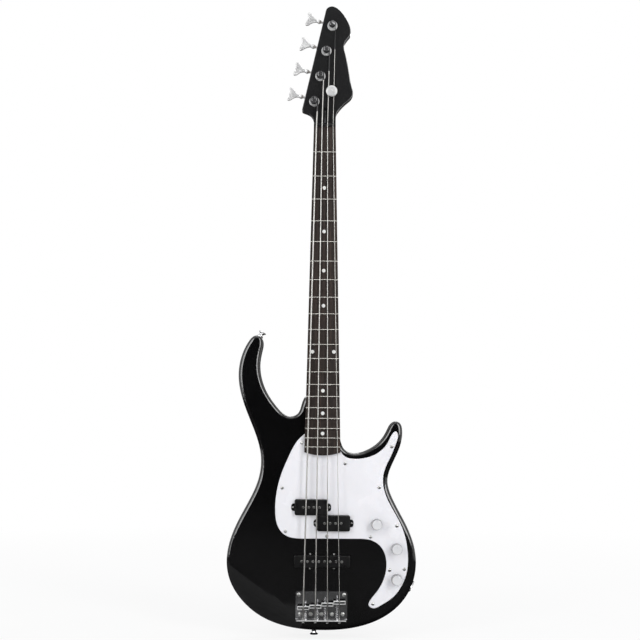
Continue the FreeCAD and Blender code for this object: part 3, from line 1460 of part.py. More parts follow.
# Jack, strap buttons and wiring
def make_jack():
    """The output jack on its round plate. The plate's screws are returned."""
    direction, flat = jack_axis()
    plate = Part.makeCylinder(jack_plate_radius, jack_plate_thickness)
    rim = [edge for edge in plate.Edges if edge.BoundBox.ZMin > jack_plate_thickness - 0.01]
    plate = plate.makeChamfer(0.6, rim)
    plate = plate.cut(Part.makeCylinder(jack_barrel_radius + seat_clearance, 9, Vector(0, 0, -3)))
    plate = place(plate, flat, direction)
    holes = [rod(jack_screw_radius + running_clearance, point - direction * 3, point + direction * 5)
             for point in jack_screw_points()]
    write("jack_plate", plate.cut(holes))
    fastener = screw(2.6, 1.4, jack_screw_radius, 12)
    fasteners = [place(fastener, point + direction * jack_plate_thickness, direction)
                 for point in jack_screw_points()]
    mouth = jack_plate_thickness + jack_nut_thickness + 0.8
    barrel = Part.makeCylinder(jack_barrel_radius, mouth + 1, Vector(0, 0, -1))
    housing = Part.makeCylinder(jack_body_radius, jack_body_length, Vector(0, 0, -jack_body_length))
    bore = Part.makeCylinder(jack_bore_radius, 60, Vector(0, 0, 1.5 - jack_body_length))
    jack = barrel.fuse(housing).cut(bore)
    nut = prism_along_z(6, jack_nut_radius, Vector(0, 0, jack_plate_thickness), jack_nut_thickness)
    nut = nut.cut(Part.makeCylinder(jack_barrel_radius + seat_clearance, 20, Vector(0, 0, -5)))
    write("output_jack", place(jack, flat, direction), place(nut, flat, direction))
    return fasteners


def make_strap_buttons():
    """Two turned strap buttons. Their screws are returned."""
    cap = button_height
    profile = [(0, 0), (6.0, 0), (6.0, 1.2), (button_waist_radius + 0.4, 2.6), (button_waist_radius, 4.6),
               (button_waist_radius + 0.5, cap - 4.0), (button_cap_radius, cap - 1.8),
               (button_cap_radius, cap - 0.9),
               (button_cap_radius - 0.9, cap), (0, cap)]
    hole = Part.makeCylinder(button_screw_radius + running_clearance, 30, Vector(0, 0, -5))
    head_room = Part.makeCylinder(4.4, 10, Vector(0, 0, cap - 1.6))
    knob = lathe(profile).cut([hole, head_room])
    fastener = screw(4.2, 2.0, button_screw_radius, button_screw_length)
    buttons = []
    fasteners = []
    for seat, out in button_axes():
        buttons.append(place(knob, seat, out))
        fasteners.append(place(fastener, seat + out * (cap - 1.6), out))
    write("strap_buttons", *buttons)
    return fasteners


def make_wiring():
    """Insulated leads between pickups, controls and jack, and the tone capacitor with its legs."""
    under = body_front + pickup_cavity_depth - 2.0
    can_back = body_front + pot_depth + seat_clearance
    behind = can_back + 6.0
    first, second, third = [plan(point) for point in knob_places]
    bass, treble = split_centre(0, under), split_centre(1, under)
    bar = plan(bar_pickup_place, under)
    bass_joint = bass + RIGHT * 20 - UP * 8
    treble_joint = treble - RIGHT * 8 + UP * 6
    coil_back = body_front + pickup_below_face - coil_recess + seat_clearance
    direction, flat = jack_axis()
    tail = flat - direction * (jack_body_length + seat_clearance)
    beside_ear = treble + RIGHT * (split_pickup_size[0] / 2 + 3.4) + UP * 3.6
    gate = first - RIGHT * 11.4 + UP * 2.5
    treble_tap = beside_ear - RIGHT * 14
    bar_tap = bar + RIGHT * 40

    def at(point, level):
        return Vector(point.x, level, point.z)

    routes = [
        [at(bass_joint, coil_back), bass_joint, treble_joint, at(treble_joint, coil_back)],
        [at(treble_tap, coil_back), treble_tap, beside_ear, at(beside_ear, body_front + 6),
         at(gate, body_front + 6), at(gate, behind), at(first - RIGHT * 2, behind),
         at(first - RIGHT * 2, can_back)],
        [at(bar_tap, coil_back), bar_tap, Vector(second.x, under, bar.z), at(second, under),
         at(second, can_back)],
    ]
    for start, end, shift in ((first, second, RIGHT * 4), (second, third, RIGHT * 4)):
        low = start + shift - UP * 3
        high = end + shift + UP * 3
        routes.append([at(low, can_back), at(low, behind), at(high, behind), at(high, can_back)])
    soldered = third - direction * 4
    routes.append([at(soldered, can_back), at(soldered, tail.y), tail])
    leads = []
    for points in routes:
        solid, length, share = tube(rounded_run(points, [lead_bend] * (len(points) - 2)), lead_radius)
        print("lead", round(length, 1), "volume share", round(share, 4))
        leads.append(solid)
    write("wiring", *leads)
    low_leg = third - RIGHT * 4 + UP * 4
    high_leg = second - RIGHT * 4 - UP * 4
    level = behind + 8.0
    legs = [at(low_leg, can_back), at(low_leg, level), at(high_leg, level), at(high_leg, can_back)]
    wire = tube(rounded_run(legs, [lead_bend] * 2), lead_radius / 2)[0]
    middle = at((low_leg + high_leg) * 0.5, level)
    can = rod(capacitor_radius, middle - UP * capacitor_length / 2, middle + UP * capacitor_length / 2)
    ends = [edge for edge in can.Edges if edge.Curve.TypeId == "Part::GeomCircle"]
    write("tone_capacitor", can.makeFillet(0.8, ends).fuse(wire))


make_strings()
make_fingerboard()
make_nut()
make_neck()
make_tuners()
make_string_tree()
make_body()
make_neck_plate()
make_pickguard()
make_controls()
make_split_pickup(0, "neck_pickup_bass")
make_split_pickup(1, "neck_pickup_treble")
make_bar_pickup()
write("hardware_screws", *make_bridge(), *make_jack(), *make_strap_buttons())
make_wiring()
print(len(written), "pieces written")
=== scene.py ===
# %% [markdown]
# # An electric bass guitar, dressed
# The exact solids of the instrument come in as a fixed frame: body, neck, frets, bridge, tuning machines and
# the rest, each with its own name and its own moving body. This lesson gives every one of them a finish, and
# makes the pieces that a solid can't show well, such as the round-wound strings and the thin springs, as
# meshes of their own.

# %% Load the frame
import json
import math

import bmesh
import bpy
from mathutils import Matrix, Vector


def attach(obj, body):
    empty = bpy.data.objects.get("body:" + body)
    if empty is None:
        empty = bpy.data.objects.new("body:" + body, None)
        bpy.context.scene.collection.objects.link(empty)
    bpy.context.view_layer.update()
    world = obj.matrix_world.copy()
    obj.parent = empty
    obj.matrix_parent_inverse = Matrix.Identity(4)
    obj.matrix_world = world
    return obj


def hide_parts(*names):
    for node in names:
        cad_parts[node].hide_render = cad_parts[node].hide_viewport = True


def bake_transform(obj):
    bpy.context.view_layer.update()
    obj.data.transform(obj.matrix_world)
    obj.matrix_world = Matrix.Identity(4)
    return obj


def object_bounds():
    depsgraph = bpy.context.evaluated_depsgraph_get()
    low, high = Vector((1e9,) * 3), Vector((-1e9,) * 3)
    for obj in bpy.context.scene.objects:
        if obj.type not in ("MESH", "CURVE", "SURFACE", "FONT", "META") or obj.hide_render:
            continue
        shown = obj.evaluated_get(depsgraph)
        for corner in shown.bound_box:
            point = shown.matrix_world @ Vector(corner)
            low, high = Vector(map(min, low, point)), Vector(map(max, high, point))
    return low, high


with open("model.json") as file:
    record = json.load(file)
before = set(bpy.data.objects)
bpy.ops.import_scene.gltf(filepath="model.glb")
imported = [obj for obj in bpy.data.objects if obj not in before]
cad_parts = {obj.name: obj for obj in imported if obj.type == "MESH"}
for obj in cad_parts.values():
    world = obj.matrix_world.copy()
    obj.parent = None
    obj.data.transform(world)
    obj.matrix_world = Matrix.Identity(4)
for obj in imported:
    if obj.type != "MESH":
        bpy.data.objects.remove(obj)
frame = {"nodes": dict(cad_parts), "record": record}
cad_low, cad_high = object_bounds()
print("solids loaded:", len(frame["nodes"]), "height in metres:", round(cad_high[2] - cad_low[2], 3))

# %% [markdown]
# ## Camera
# The photograph was taken from the front with a long lens, a little below the middle of the instrument and
# tilted up by six degrees. A lens of 62 mm on a 36 mm sensor gives the same narrowing towards the head. The
# neck leans by less than half a degree in the picture, so the camera is rolled by that much and its centre is
# shifted by a few pixels. A camera could be set by eye, but the known places of the frets fix it better, so
# these values were fitted to them.

# %% Place the camera
scene = bpy.context.scene
scene.view_settings.view_transform = "Standard"
picture_width = 640
shift_in_pixels = (-3.4, 0.5)
camera_place = (0.0, -2.0098, -0.5665)
tilt_up, lean = 5.831, 0.41

camera_data = bpy.data.cameras.new("photo_camera")
camera = bpy.data.objects.new("photo_camera", camera_data)
scene.collection.objects.link(camera)
camera_data.lens = 62.15
camera_data.sensor_width = 36.0
camera_data.shift_x = shift_in_pixels[0] / picture_width
camera_data.shift_y = shift_in_pixels[1] / picture_width
camera_data.clip_end = 50.0
tilt = Matrix.Rotation(math.radians(90 + tilt_up), 4, "X")
roll = Matrix.Rotation(math.radians(lean), 4, "Z")
camera.matrix_world = Matrix.Translation(camera_place) @ tilt @ roll
scene.camera = camera
print("camera at", [round(value, 3) for value in camera.location], "lens", camera_data.lens)

# %% [markdown]
# ## Finishes
# All finishes are made of nodes, and all of them read the object coordinate, which is in metres here because
# every solid sits at the origin. A picture could be wrapped round each piece instead, but it would need a map
# for every solid. A few small helpers keep the cells short: one starts a material, one adds a noise that is
# stretched along the three axes, which is how wood grain and brushed metal are made, and the others turn that
# noise into a colour, a roughness or a bump.

# %% Helpers for finishes
def start_finish(name):
    """A new material with its node tree, main shader and object coordinate."""
    material = bpy.data.materials.new(name)
    material.use_nodes = True
    tree = material.node_tree
    shader = tree.nodes["Principled BSDF"]
    place = tree.nodes.new("ShaderNodeTexCoord").outputs["Object"]
    return material, tree, shader, place


def add_noise(tree, place, stretch, detail=4.0, rough=0.55):
    """A noise with its own scale along X, Y and Z, in features per metre."""
    mapping = tree.nodes.new("ShaderNodeMapping")
    mapping.inputs["Scale"].default_value = stretch
    tree.links.new(place, mapping.inputs["Vector"])
    noise = tree.nodes.new("ShaderNodeTexNoise")
    noise.inputs["Scale"].default_value = 1.0
    noise.inputs["Detail"].default_value = detail
    noise.inputs["Roughness"].default_value = rough
    tree.links.new(mapping.outputs["Vector"], noise.inputs["Vector"])
    return noise.outputs["Fac"]


def add_ramp(tree, value, stops):
    """A colour ramp through stops of position and colour."""
    ramp = tree.nodes.new("ShaderNodeValToRGB")
    elements = ramp.color_ramp.elements
    while len(elements) < len(stops):
        elements.new(0.5)
    for element, (position, colour) in zip(elements, stops):
        element.position = position
        element.color = (*colour, 1.0)
    tree.links.new(value, ramp.inputs["Fac"])
    return ramp.outputs["Color"]


def add_range(tree, value, low, high, start=0.3, end=0.7):
    """A value moved from the range start to end into the range low to high."""
    span = tree.nodes.new("ShaderNodeMapRange")
    span.inputs["From Min"].default_value = start
    span.inputs["From Max"].default_value = end
    span.inputs["To Min"].default_value = low
    span.inputs["To Max"].default_value = high
    tree.links.new(value, span.inputs["Value"])
    return span.outputs["Result"]


def add_bump(tree, shader, height, strength, distance):
    """Fine relief on a surface, with its depth in metres."""
    bump = tree.nodes.new("ShaderNodeBump")
    bump.inputs["Strength"].default_value = strength
    bump.inputs["Distance"].default_value = distance
    tree.links.new(height, bump.inputs["Height"])
    tree.links.new(bump.outputs["Normal"], shader.inputs["Normal"])


finishes = {}
print("finish helpers ready")

# %% [markdown]
# ### Black lacquer
# The body is sprayed black and polished. It is nearly a mirror at a low angle and almost nothing from the
# front. A plain black would look like a hole, so a faint ripple of the polished film goes into the bump, and
# the roughness wanders a little, as it does where hands and cloths have been.

# %% Black lacquer
def make_lacquer():
    material, tree, shader, place = start_finish("black_lacquer")
    film = add_noise(tree, place, stretch=(9, 9, 9), detail=3.0)
    handling = add_noise(tree, place, stretch=(34, 34, 34), detail=5.0)
    deep_black, worn_black = (0.0016, 0.0016, 0.0018), (0.0032, 0.0031, 0.0034)
    colour = add_ramp(tree, film, [(0.3, deep_black), (0.75, worn_black)])
    tree.links.new(colour, shader.inputs["Base Color"])
    tree.links.new(add_range(tree, handling, low=0.05, high=0.13), shader.inputs["Roughness"])
    shader.inputs["Coat Weight"].default_value = 0.35
    shader.inputs["Coat Roughness"].default_value = 0.03
    add_bump(tree, shader, film, strength=0.05, distance=0.002)
    return material


finishes["black_lacquer"] = make_lacquer()
print("black lacquer made")

# %% [markdown]
# ### White plastics
# The pickguard is cut from cool white sheet and the knobs are moulded. Both are pale and semi-gloss. A slow
# change of tone and a fine moulded texture keep them from reading as paper, and a little light goes into the
# plastic. A knob's flank gets painted shade: faces that don't look to the front are greyer, as if shadowed.
# That could be a second material, but the direction of the surface tells it without any seam.

# %% White plastics
white = (1.0, 1.0, 1.0)


def multiply_colours(tree, first, second):
    mixed = tree.nodes.new("ShaderNodeMix")
    mixed.data_type = "RGBA"
    mixed.blend_type = "MULTIPLY"
    mixed.inputs["Factor"].default_value = 1.0
    tree.links.new(first, mixed.inputs["A"])
    tree.links.new(second, mixed.inputs["B"])
    return mixed.outputs["Result"]


def split_axes(tree, vector):
    """The X, Y and Z of a place or a direction."""
    axes = tree.nodes.new("ShaderNodeSeparateXYZ")
    tree.links.new(vector, axes.inputs["Vector"])
    return axes.outputs


def make_white_plastic(name, colour, shade, rough, flank_shade_tone=1.0):
    material, tree, shader, place = start_finish(name)
    tone = add_noise(tree, place, stretch=(14, 14, 14), detail=3.0)
    grain = add_noise(tree, place, stretch=(2600, 2600, 2600), detail=2.0)
    facing = split_axes(tree, place.node.outputs["Normal"])
    # painted shade: faces that turn away from the front darken towards the flank's shade tone
    front = add_range(tree, facing["Y"], low=1.0, high=0.0, start=-0.9, end=-0.4)
    painted_flank_shade = add_ramp(tree, front, [(0.0, (flank_shade_tone, flank_shade_tone, flank_shade_tone)), (1.0, white)])
    pale = add_ramp(tree, tone, [(0.3, shade), (0.7, colour)])
    tree.links.new(multiply_colours(tree, pale, painted_flank_shade), shader.inputs["Base Color"])
    gloss = add_range(tree, tone, low=rough - 0.05, high=rough + 0.06)
    tree.links.new(gloss, shader.inputs["Roughness"])
    shader.inputs["Subsurface Weight"].default_value = 0.08
    shader.inputs["Subsurface Radius"].default_value = (0.0015, 0.0012, 0.001)
    shader.inputs["Specular IOR Level"].default_value = 0.4
    add_bump(tree, shader, grain, strength=0.06, distance=0.0002)
    return material


white_recipes = {
    "white_plastic": dict(colour=(0.86, 0.855, 0.89), shade=(0.82, 0.818, 0.85), rough=0.24),
    "knob_plastic": dict(colour=(0.73, 0.73, 0.75), shade=(0.67, 0.672, 0.69), rough=0.3, flank_shade_tone=0.42),
    "dot_pearl": dict(colour=(0.88, 0.87, 0.84), shade=(0.74, 0.75, 0.74), rough=0.18),
}
for name, recipe in white_recipes.items():
    finishes[name] = make_white_plastic(name, **recipe)
print("white plastics made:", ", ".join(white_recipes))

# %% [markdown]
# ### Maple with a black face
# The neck and head are one piece of maple. Its grain runs along Z, so the noise is stretched a lot in that
# direction. The head's front, its sides and the slot for the truss rod's nut are sprayed black like the body,
# and only its back stays bare. The solid has no seam there, so the finish itself decides by place: black in
# front of a level that rises from the neck's side to just short of the head's back, and only above the nut.

# %% Maple
def add_math(tree, operation, *values):
    """A sum of one to three values, each a plain number or what another node gives."""
    node = tree.nodes.new("ShaderNodeMath")
    node.operation = operation
    for socket, value in zip(node.inputs, values):
        if isinstance(value, bpy.types.NodeSocket):
            tree.links.new(value, socket)
        else:
            socket.default_value = value
    return node.outputs["Value"]


def head_paint(tree, place):
    """One where the head is sprayed black, and nought on the bare wood."""
    axes = split_axes(tree, place)
    level = add_range(tree, axes["Z"], low=0.0100, high=0.0155, start=0.005, end=0.045)
    behind = add_math(tree, "SUBTRACT", axes["Y"], level)
    in_front = add_range(tree, behind, low=1.0, high=0.0, start=-0.0001, end=0.0001)
    above_nut = add_range(tree, axes["Z"], low=0.0, high=1.0, start=0.0048, end=0.0052)
    return add_math(tree, "MULTIPLY", in_front, above_nut)


def make_maple():
    material, tree, shader, place = start_finish("maple")
    grain = add_noise(tree, place, stretch=(150, 150, 5), detail=6.0, rough=0.6)
    flame = add_noise(tree, place, stretch=(30, 30, 9), detail=2.0)
    dark_grain, honey, pale_grain = (0.36, 0.19, 0.075), (0.56, 0.34, 0.15), (0.64, 0.42, 0.21)
    wood = add_ramp(tree, grain, [(0.28, dark_grain), (0.5, honey), (0.72, pale_grain)])
    glow = add_ramp(tree, flame, [(0.3, (0.86, 0.84, 0.82)), (0.7, white)])
    painted = head_paint(tree, place)
    face = tree.nodes.new("ShaderNodeMix")
    face.data_type = "RGBA"
    tree.links.new(painted, face.inputs["Factor"])
    tree.links.new(multiply_colours(tree, wood, glow), face.inputs["A"])
    face.inputs["B"].default_value = (0.014, 0.014, 0.0145, 1.0)
    tree.links.new(face.outputs["Result"], shader.inputs["Base Color"])
    gloss = tree.nodes.new("ShaderNodeMix")
    tree.links.new(painted, gloss.inputs["Factor"])
    tree.links.new(add_range(tree, flame, low=0.26, high=0.4), gloss.inputs["A"])
    gloss.inputs["B"].default_value = 0.12
    tree.links.new(gloss.outputs["Result"], shader.inputs["Roughness"])
    shader.inputs["Coat Weight"].default_value = 0.2
    shader.inputs["Coat Roughness"].default_value = 0.12
    add_bump(tree, shader, grain, strength=0.04, distance=0.0004)
    return material


finishes["maple"] = make_maple()
print("maple made, black on the head's face and sides")

# %% [markdown]
# ### Rosewood
# The fingerboard is oiled rosewood: dark brown streaks along the neck with open pores. A wave texture could
# draw the streaks, but it is too regular for wood, so two stretched noises make it. The coarse one gives the
# streaks, and the fine one is cut hard by a ramp into short dark pores that also go into the bump.

# %% Rosewood
def make_rosewood():
    material, tree, shader, place = start_finish("rosewood")
    streaks = add_noise(tree, place, stretch=(210, 210, 4), detail=6.0, rough=0.65)
    pores = add_noise(tree, place, stretch=(1500, 1500, 55), detail=2.0)
    near_black, brown, reddish = (0.005, 0.0034, 0.0028), (0.019, 0.0125, 0.01), (0.05, 0.031, 0.024)
    wood = add_ramp(tree, streaks, [(0.25, near_black), (0.5, brown), (0.75, reddish)])
    open_pores = add_ramp(tree, pores, [(0.34, (0.35, 0.33, 0.3)), (0.44, white)])
    tree.links.new(multiply_colours(tree, wood, open_pores), shader.inputs["Base Color"])
    tree.links.new(add_range(tree, streaks, low=0.4, high=0.6), shader.inputs["Roughness"])
    shader.inputs["Specular IOR Level"].default_value = 0.22
    add_bump(tree, shader, pores, strength=0.25, distance=0.0003)
    return material


finishes["rosewood"] = make_rosewood()
print("rosewood made")

# %% [markdown]
# ### Metals
# Chrome, nickel and steel differ in colour and in how far they blur a reflection. One recipe serves all of
# them: a metallic shader, a roughness that wanders with handling, and a fine scratch noise in the bump. Frets
# are polished along their length, so their scratches are drawn out along X. Satin chrome is only partly
# metallic, which keeps the keys pale in a dark reflection.

# %% Metals
def make_metal(name, colour, shade, low, high, scratches=(900, 900, 900), metal=1.0):
    material, tree, shader, place = start_finish(name)
    wear = add_noise(tree, place, stretch=(120, 120, 120), detail=4.0)
    lines = add_noise(tree, place, stretch=scratches, detail=3.0)
    tree.links.new(add_ramp(tree, wear, [(0.3, shade), (0.65, colour)]), shader.inputs["Base Color"])
    tree.links.new(add_range(tree, wear, low=low, high=high), shader.inputs["Roughness"])
    shader.inputs["Metallic"].default_value = metal
    add_bump(tree, shader, lines, strength=0.05, distance=0.0001)
    return material


metal_recipes = {
    "chrome": dict(colour=(0.7, 0.7, 0.71), shade=(0.58, 0.58, 0.59), low=0.07, high=0.16),
    "satin_chrome": dict(colour=(0.66, 0.66, 0.66), shade=(0.58, 0.58, 0.58), low=0.3, high=0.42, metal=0.55),
    "fret_nickel": dict(colour=(0.78, 0.76, 0.71), shade=(0.6, 0.58, 0.53), low=0.16, high=0.3,
                        scratches=(60, 2500, 2500)),
    "pole_steel": dict(colour=(0.42, 0.42, 0.41), shade=(0.3, 0.3, 0.29), low=0.2, high=0.36),
    "plain_steel": dict(colour=(0.55, 0.55, 0.54), shade=(0.4, 0.4, 0.39), low=0.25, high=0.45),
    "blackened_steel": dict(colour=(0.05, 0.05, 0.052), shade=(0.03, 0.03, 0.031), low=0.3, high=0.45),
    "spring_steel": dict(colour=(0.72, 0.72, 0.72), shade=(0.55, 0.55, 0.56), low=0.15, high=0.28),
}
for name, recipe in metal_recipes.items():
    finishes[name] = make_metal(name, **recipe)
print("metals made:", ", ".join(metal_recipes))

# %% [markdown]
# ### Chrome of the bridge
# The bridge plate and its saddles are chromed. The faces in front of one level, their foremost rims, get a
# painted highlight in a paler colour, together with a rougher, less metallic skin like satin, and all the rest
# keeps a darker polish. Painting each rim by hand could do it too, but one level serves the wall and all four
# saddles, wherever they stand.

# %% Chrome of the bridge
def make_bridge_chrome():
    material, tree, shader, place = start_finish("bridge_chrome")
    wear = add_noise(tree, place, stretch=(120, 120, 120), detail=4.0)
    lines = add_noise(tree, place, stretch=(900, 900, 900), detail=3.0)
    # painted highlight: faces in front of this level get the paler colour, and more roughness and less metal
    rim = add_range(tree, split_axes(tree, place)["Y"], low=1.0, high=0.0, start=-0.01245, end=-0.01235)
    polished, rim_highlight_colour = (0.5, 0.5, 0.51), (0.72, 0.72, 0.72)
    tone = add_ramp(tree, rim, [(0.0, polished), (1.0, rim_highlight_colour)])
    dulled = add_ramp(tree, wear, [(0.3, (0.84, 0.84, 0.84)), (0.65, white)])
    tree.links.new(multiply_colours(tree, tone, dulled), shader.inputs["Base Color"])
    tree.links.new(add_range(tree, rim, low=1.0, high=0.4, start=0.0, end=1.0), shader.inputs["Metallic"])
    tree.links.new(add_range(tree, rim, low=0.11, high=0.36, start=0.0, end=1.0), shader.inputs["Roughness"])
    add_bump(tree, shader, lines, strength=0.05, distance=0.0001)
    return material


finishes["bridge_chrome"] = make_bridge_chrome()
print("bridge chrome made, satin on the foremost rims")

# %% [markdown]
# ### Dark plastics
# Pickup covers, nut, coil wrap and lead insulation are dark and not glossy. One even colour would make a cover
# look cut out of the picture, so they share one recipe with a slow change of tone and a fine moulded grain.
# The capacitor is dipped in green resin and gets the same recipe with a smoother skin.

# %% Dark plastics
def make_dark_plastic(name, colour, shade, rough, grain_scale, grain_depth):
    material, tree, shader, place = start_finish(name)
    tone = add_noise(tree, place, stretch=(60, 60, 60), detail=4.0)
    grain = add_noise(tree, place, stretch=(grain_scale, grain_scale, grain_scale), detail=3.0)
    tree.links.new(add_ramp(tree, tone, [(0.3, shade), (0.7, colour)]), shader.inputs["Base Color"])
    gloss = add_range(tree, tone, low=rough - 0.06, high=rough + 0.08)
    tree.links.new(gloss, shader.inputs["Roughness"])
    shader.inputs["Specular IOR Level"].default_value = 0.3
    add_bump(tree, shader, grain, strength=0.15, distance=grain_depth)
    return material


dark_recipes = {
    "black_plastic": dict(colour=(0.006, 0.006, 0.0062), shade=(0.004, 0.004, 0.0042), rough=0.3,
                          grain_scale=1800, grain_depth=0.0002),
    "coil_wrap": dict(colour=(0.03, 0.022, 0.02), shade=(0.015, 0.011, 0.01), rough=0.5,
                      grain_scale=900, grain_depth=0.0004),
    "lead_insulation": dict(colour=(0.03, 0.03, 0.032), shade=(0.02, 0.02, 0.02), rough=0.45,
                            grain_scale=700, grain_depth=0.0002),
    "capacitor_case": dict(colour=(0.06, 0.2, 0.1), shade=(0.045, 0.15, 0.075), rough=0.22,
                           grain_scale=400, grain_depth=0.0003),
}
for name, recipe in dark_recipes.items():
    finishes[name] = make_dark_plastic(name, **recipe)
print("dark plastics made:", ", ".join(dark_recipes))

# %% [markdown]
# ## Finishes on the solids
# The record names one finish slot for each solid, so one loop dresses them all. The names of the finishes
# above are the names of those slots. Some nodes differ from the rest of their slot. The bushings round the
# string posts are only tumbled and not polished, so they get the satin chrome of the keys and show as pale
# rings on the head. The screws on the pickguard and on the bridge have gone dull, the truss rod's nut is
# blackened, and the bridge has its own chrome. The strings are passed over here, because their finish is made
# together with them below.

# %% Dress the solids
own_finishes = {"tuner_bushings": "satin_chrome", "pickguard_screws": "plain_steel",
                "hardware_screws": "plain_steel", "truss_rod_nut": "blackened_steel",
                "bridge_plate": "bridge_chrome", "saddle_e": "bridge_chrome", "saddle_a": "bridge_chrome",
                "saddle_d": "bridge_chrome", "saddle_g": "bridge_chrome"}
for entry in frame["record"]["subparts"]:
    node = frame["nodes"][entry["node"]]
    finish = finishes.get(own_finishes.get(entry["node"], entry["material_slot"]))
    if finish:
        node.data.materials.clear()
        node.data.materials.append(finish)

# %% [markdown]
# ## Strings
# A bass string is a steel core with a round wire wound on it, and silk thread on the end that goes round the
# post. It could be a curve with a bevel, but a curve gives no control over the wrap along its length. So the
# route is a smooth curve whose points are read back, and a mesh tube is built along them with a coordinate
# that counts real length. The wrap ridges and the silk are drawn with that coordinate. The sizes repeat those
# of the solids, in millimetres.

# %% String sizes
MM = 0.001
scale_length = 863.6
string_names = ("e", "a", "d", "g")
string_diameters = (2.67, 2.16, 1.65, 1.14)
bridge_spacing, nut_spacing = 21.4, 10.25
crown_level, nut_level = -12.4, -7.5
saddle_setbacks = (10.9, 8.4, 4.6, 1.3)


def string_side(index, spacing):
    """How far a string lies to the side of the middle line."""
    return (index - 1.5) * spacing


def saddle_crown(index):
    """Middle of a string where it bends over its saddle."""
    side = string_side(index, bridge_spacing)
    return Vector((side, crown_level - string_diameters[index] / 2, -scale_length - saddle_setbacks[index]))


def nut_slot(index):
    """Middle of a string in its slot of the nut."""
    return Vector((string_side(index, nut_spacing), nut_level - string_diameters[index] / 2, 0))


free_lengths = [(saddle_crown(index) - nut_slot(index)).length for index in range(len(string_names))]
print("free lengths in millimetres:", [round(length, 1) for length in free_lengths])

# %% [markdown]
# ### Turns on the posts
# A player winds each string downwards on its post, so the slot at the top holds the end and the lowest turn
# takes the pull. The string leaves the nut in a straight line that just touches the lowest turn, and a right
# angle between that line and the turn's radius gives its heading. The turns could be guessed by eye, but then
# they would cut into the post or float beside it.

# %% Turns on the posts
winding_turns = (1.85, 2.3, 2.8, 3.4)
head_edge_angle = math.radians(12.72)
edge_up = Vector((math.sin(head_edge_angle), 0, math.cos(head_edge_angle)))
first_post, post_spacing = Vector((-19.9, 0, 50.2)), 50.0
post_radius, post_top = 4.8, -11.5
turn_gap, turn_room, slot_rim = 0.2, 1.2, 0.6


def post_middle(index):
    return first_post + edge_up * (post_spacing * index)


def string_winding(index):
    """Radius, pitch, slot level and lowest level of a string's turns on its post."""
    diameter = string_diameters[index]
    radius = post_radius + diameter / 2 + turn_gap
    pitch = diameter + turn_room
    slot_level = post_top + slot_rim + diameter / 2
    return radius, pitch, slot_level, slot_level + pitch * winding_turns[index]


def run_to_post(index):
    """Heading of a string above the nut, and the place where it meets its lowest turn."""
    radius, pitch, slot_level, low_level = string_winding(index)
    nut, post = nut_slot(index), post_middle(index)
    away = Vector((post.x - nut.x, 0, post.z - nut.z))
    heading = math.atan2(away.z, away.x) - math.asin(radius / away.length)
    run = math.sqrt(away.length_squared - radius * radius)
    return heading, Vector((nut.x + run * math.cos(heading), low_level, nut.z + run * math.sin(heading)))


print("string turns on the posts:", winding_turns)

# %% [markdown]
# ### Bends of a string
# A string starts at its ball behind the bridge wall, comes through the wall's hole, and bends over the saddle
# and over the nut. The round tree holds the two thin strings down on the head, so they get a bend at each of
# its edges as well. The bends could be picked from the solids, but worked out from a few sizes they stay exact
# for all four strings.

# %% Bends of a string
plate_ahead, plate_length, wall_thickness = 16.6, 50.5, 2.0
wall_back = -scale_length + plate_ahead - plate_length
wall_inner = wall_back + wall_thickness
ball_seat = wall_back - 0.1
body_front, hole_height, hole_run = 3.0, 5.5, 4.5
hole_level = body_front - hole_height
head_front, tree_height = 2.5, 4.2
tree_place, tree_radius, tree_rim = (12.4, 69.2), 10.5, 1.0
first_string_under_tree, touch_gap = 2, 0.02


def bends_under_tree(index):
    """The places where a thin string comes under the tree and leaves it again."""
    nut = nut_slot(index)
    heading, meet = run_to_post(index)
    offset = nut.x + (meet.x - nut.x) * (tree_place[1] / meet.z) - tree_place[0]
    half = math.sqrt(tree_radius ** 2 - offset ** 2) + tree_rim
    bends = []
    for height in (tree_place[1] - half, tree_place[1] + half):
        bend = nut.lerp(meet, height / meet.z)
        bend.y = head_front - tree_height + string_diameters[index] / 2 + touch_gap
        bends.append(bend)
    return bends


def string_bends(index):
    side = string_side(index, bridge_spacing)
    bends = [Vector((side, hole_level, ball_seat)), Vector((side, hole_level, wall_inner + hole_run)),
             saddle_crown(index), nut_slot(index)]
    if index >= first_string_under_tree:
        bends += bends_under_tree(index)
    return bends


print("bends of the strings:", [len(string_bends(index)) for index in range(len(string_names))])

# %% [markdown]
# ### Route of a string
# The smooth line is a spline of order 3. It touches the middle of each leg between its points, so a bend gets
# one point a few millimetres to each side, which keeps the long runs straight. The turns on a post need about
# a dozen points each, set out a little wide because the line runs inside them.

# %% Route of a string
bend_rounding, turn_lead_in, end_in_slot = 2.2, 3.0, 1.5
turn_step = math.radians(30)
last_step = math.radians(40)


def winding_points(index, heading):
    """The turns of a string from its lowest one up to the end in the post's slot."""
    radius, pitch, slot_level, low_level = string_winding(index)
    post = post_middle(index)
    total = 2 * math.pi * winding_turns[index]
    wide = radius / math.cos(turn_step / 2)
    first = heading - math.pi / 2
    turned = turn_step / 2
    points = []
    while turned < total - last_step:
        at = first + turned
        points.append(Vector((post.x + wide * math.cos(at), low_level - pitch * turned / (2 * math.pi),
                              post.z + wide * math.sin(at))))
        turned += turn_step
    outward = Vector((math.cos(first + total), 0, math.sin(first + total)))
    slot = Vector((post.x, slot_level, post.z))
    return points + [slot + outward * radius, slot - outward * end_in_slot]


def string_points(index):
    heading, meet = run_to_post(index)
    bends = string_bends(index)
    points = [bends[0]]
    for before, bend, after in zip(bends, bends[1:], bends[2:] + [meet]):
        points.append(bend - (bend - before).normalized() * bend_rounding)
        points.append(bend)
        points.append(bend + (after - bend).normalized() * bend_rounding)
    points.append(meet - (meet - bends[-1]).normalized() * turn_lead_in)
    return points + winding_points(index, heading)


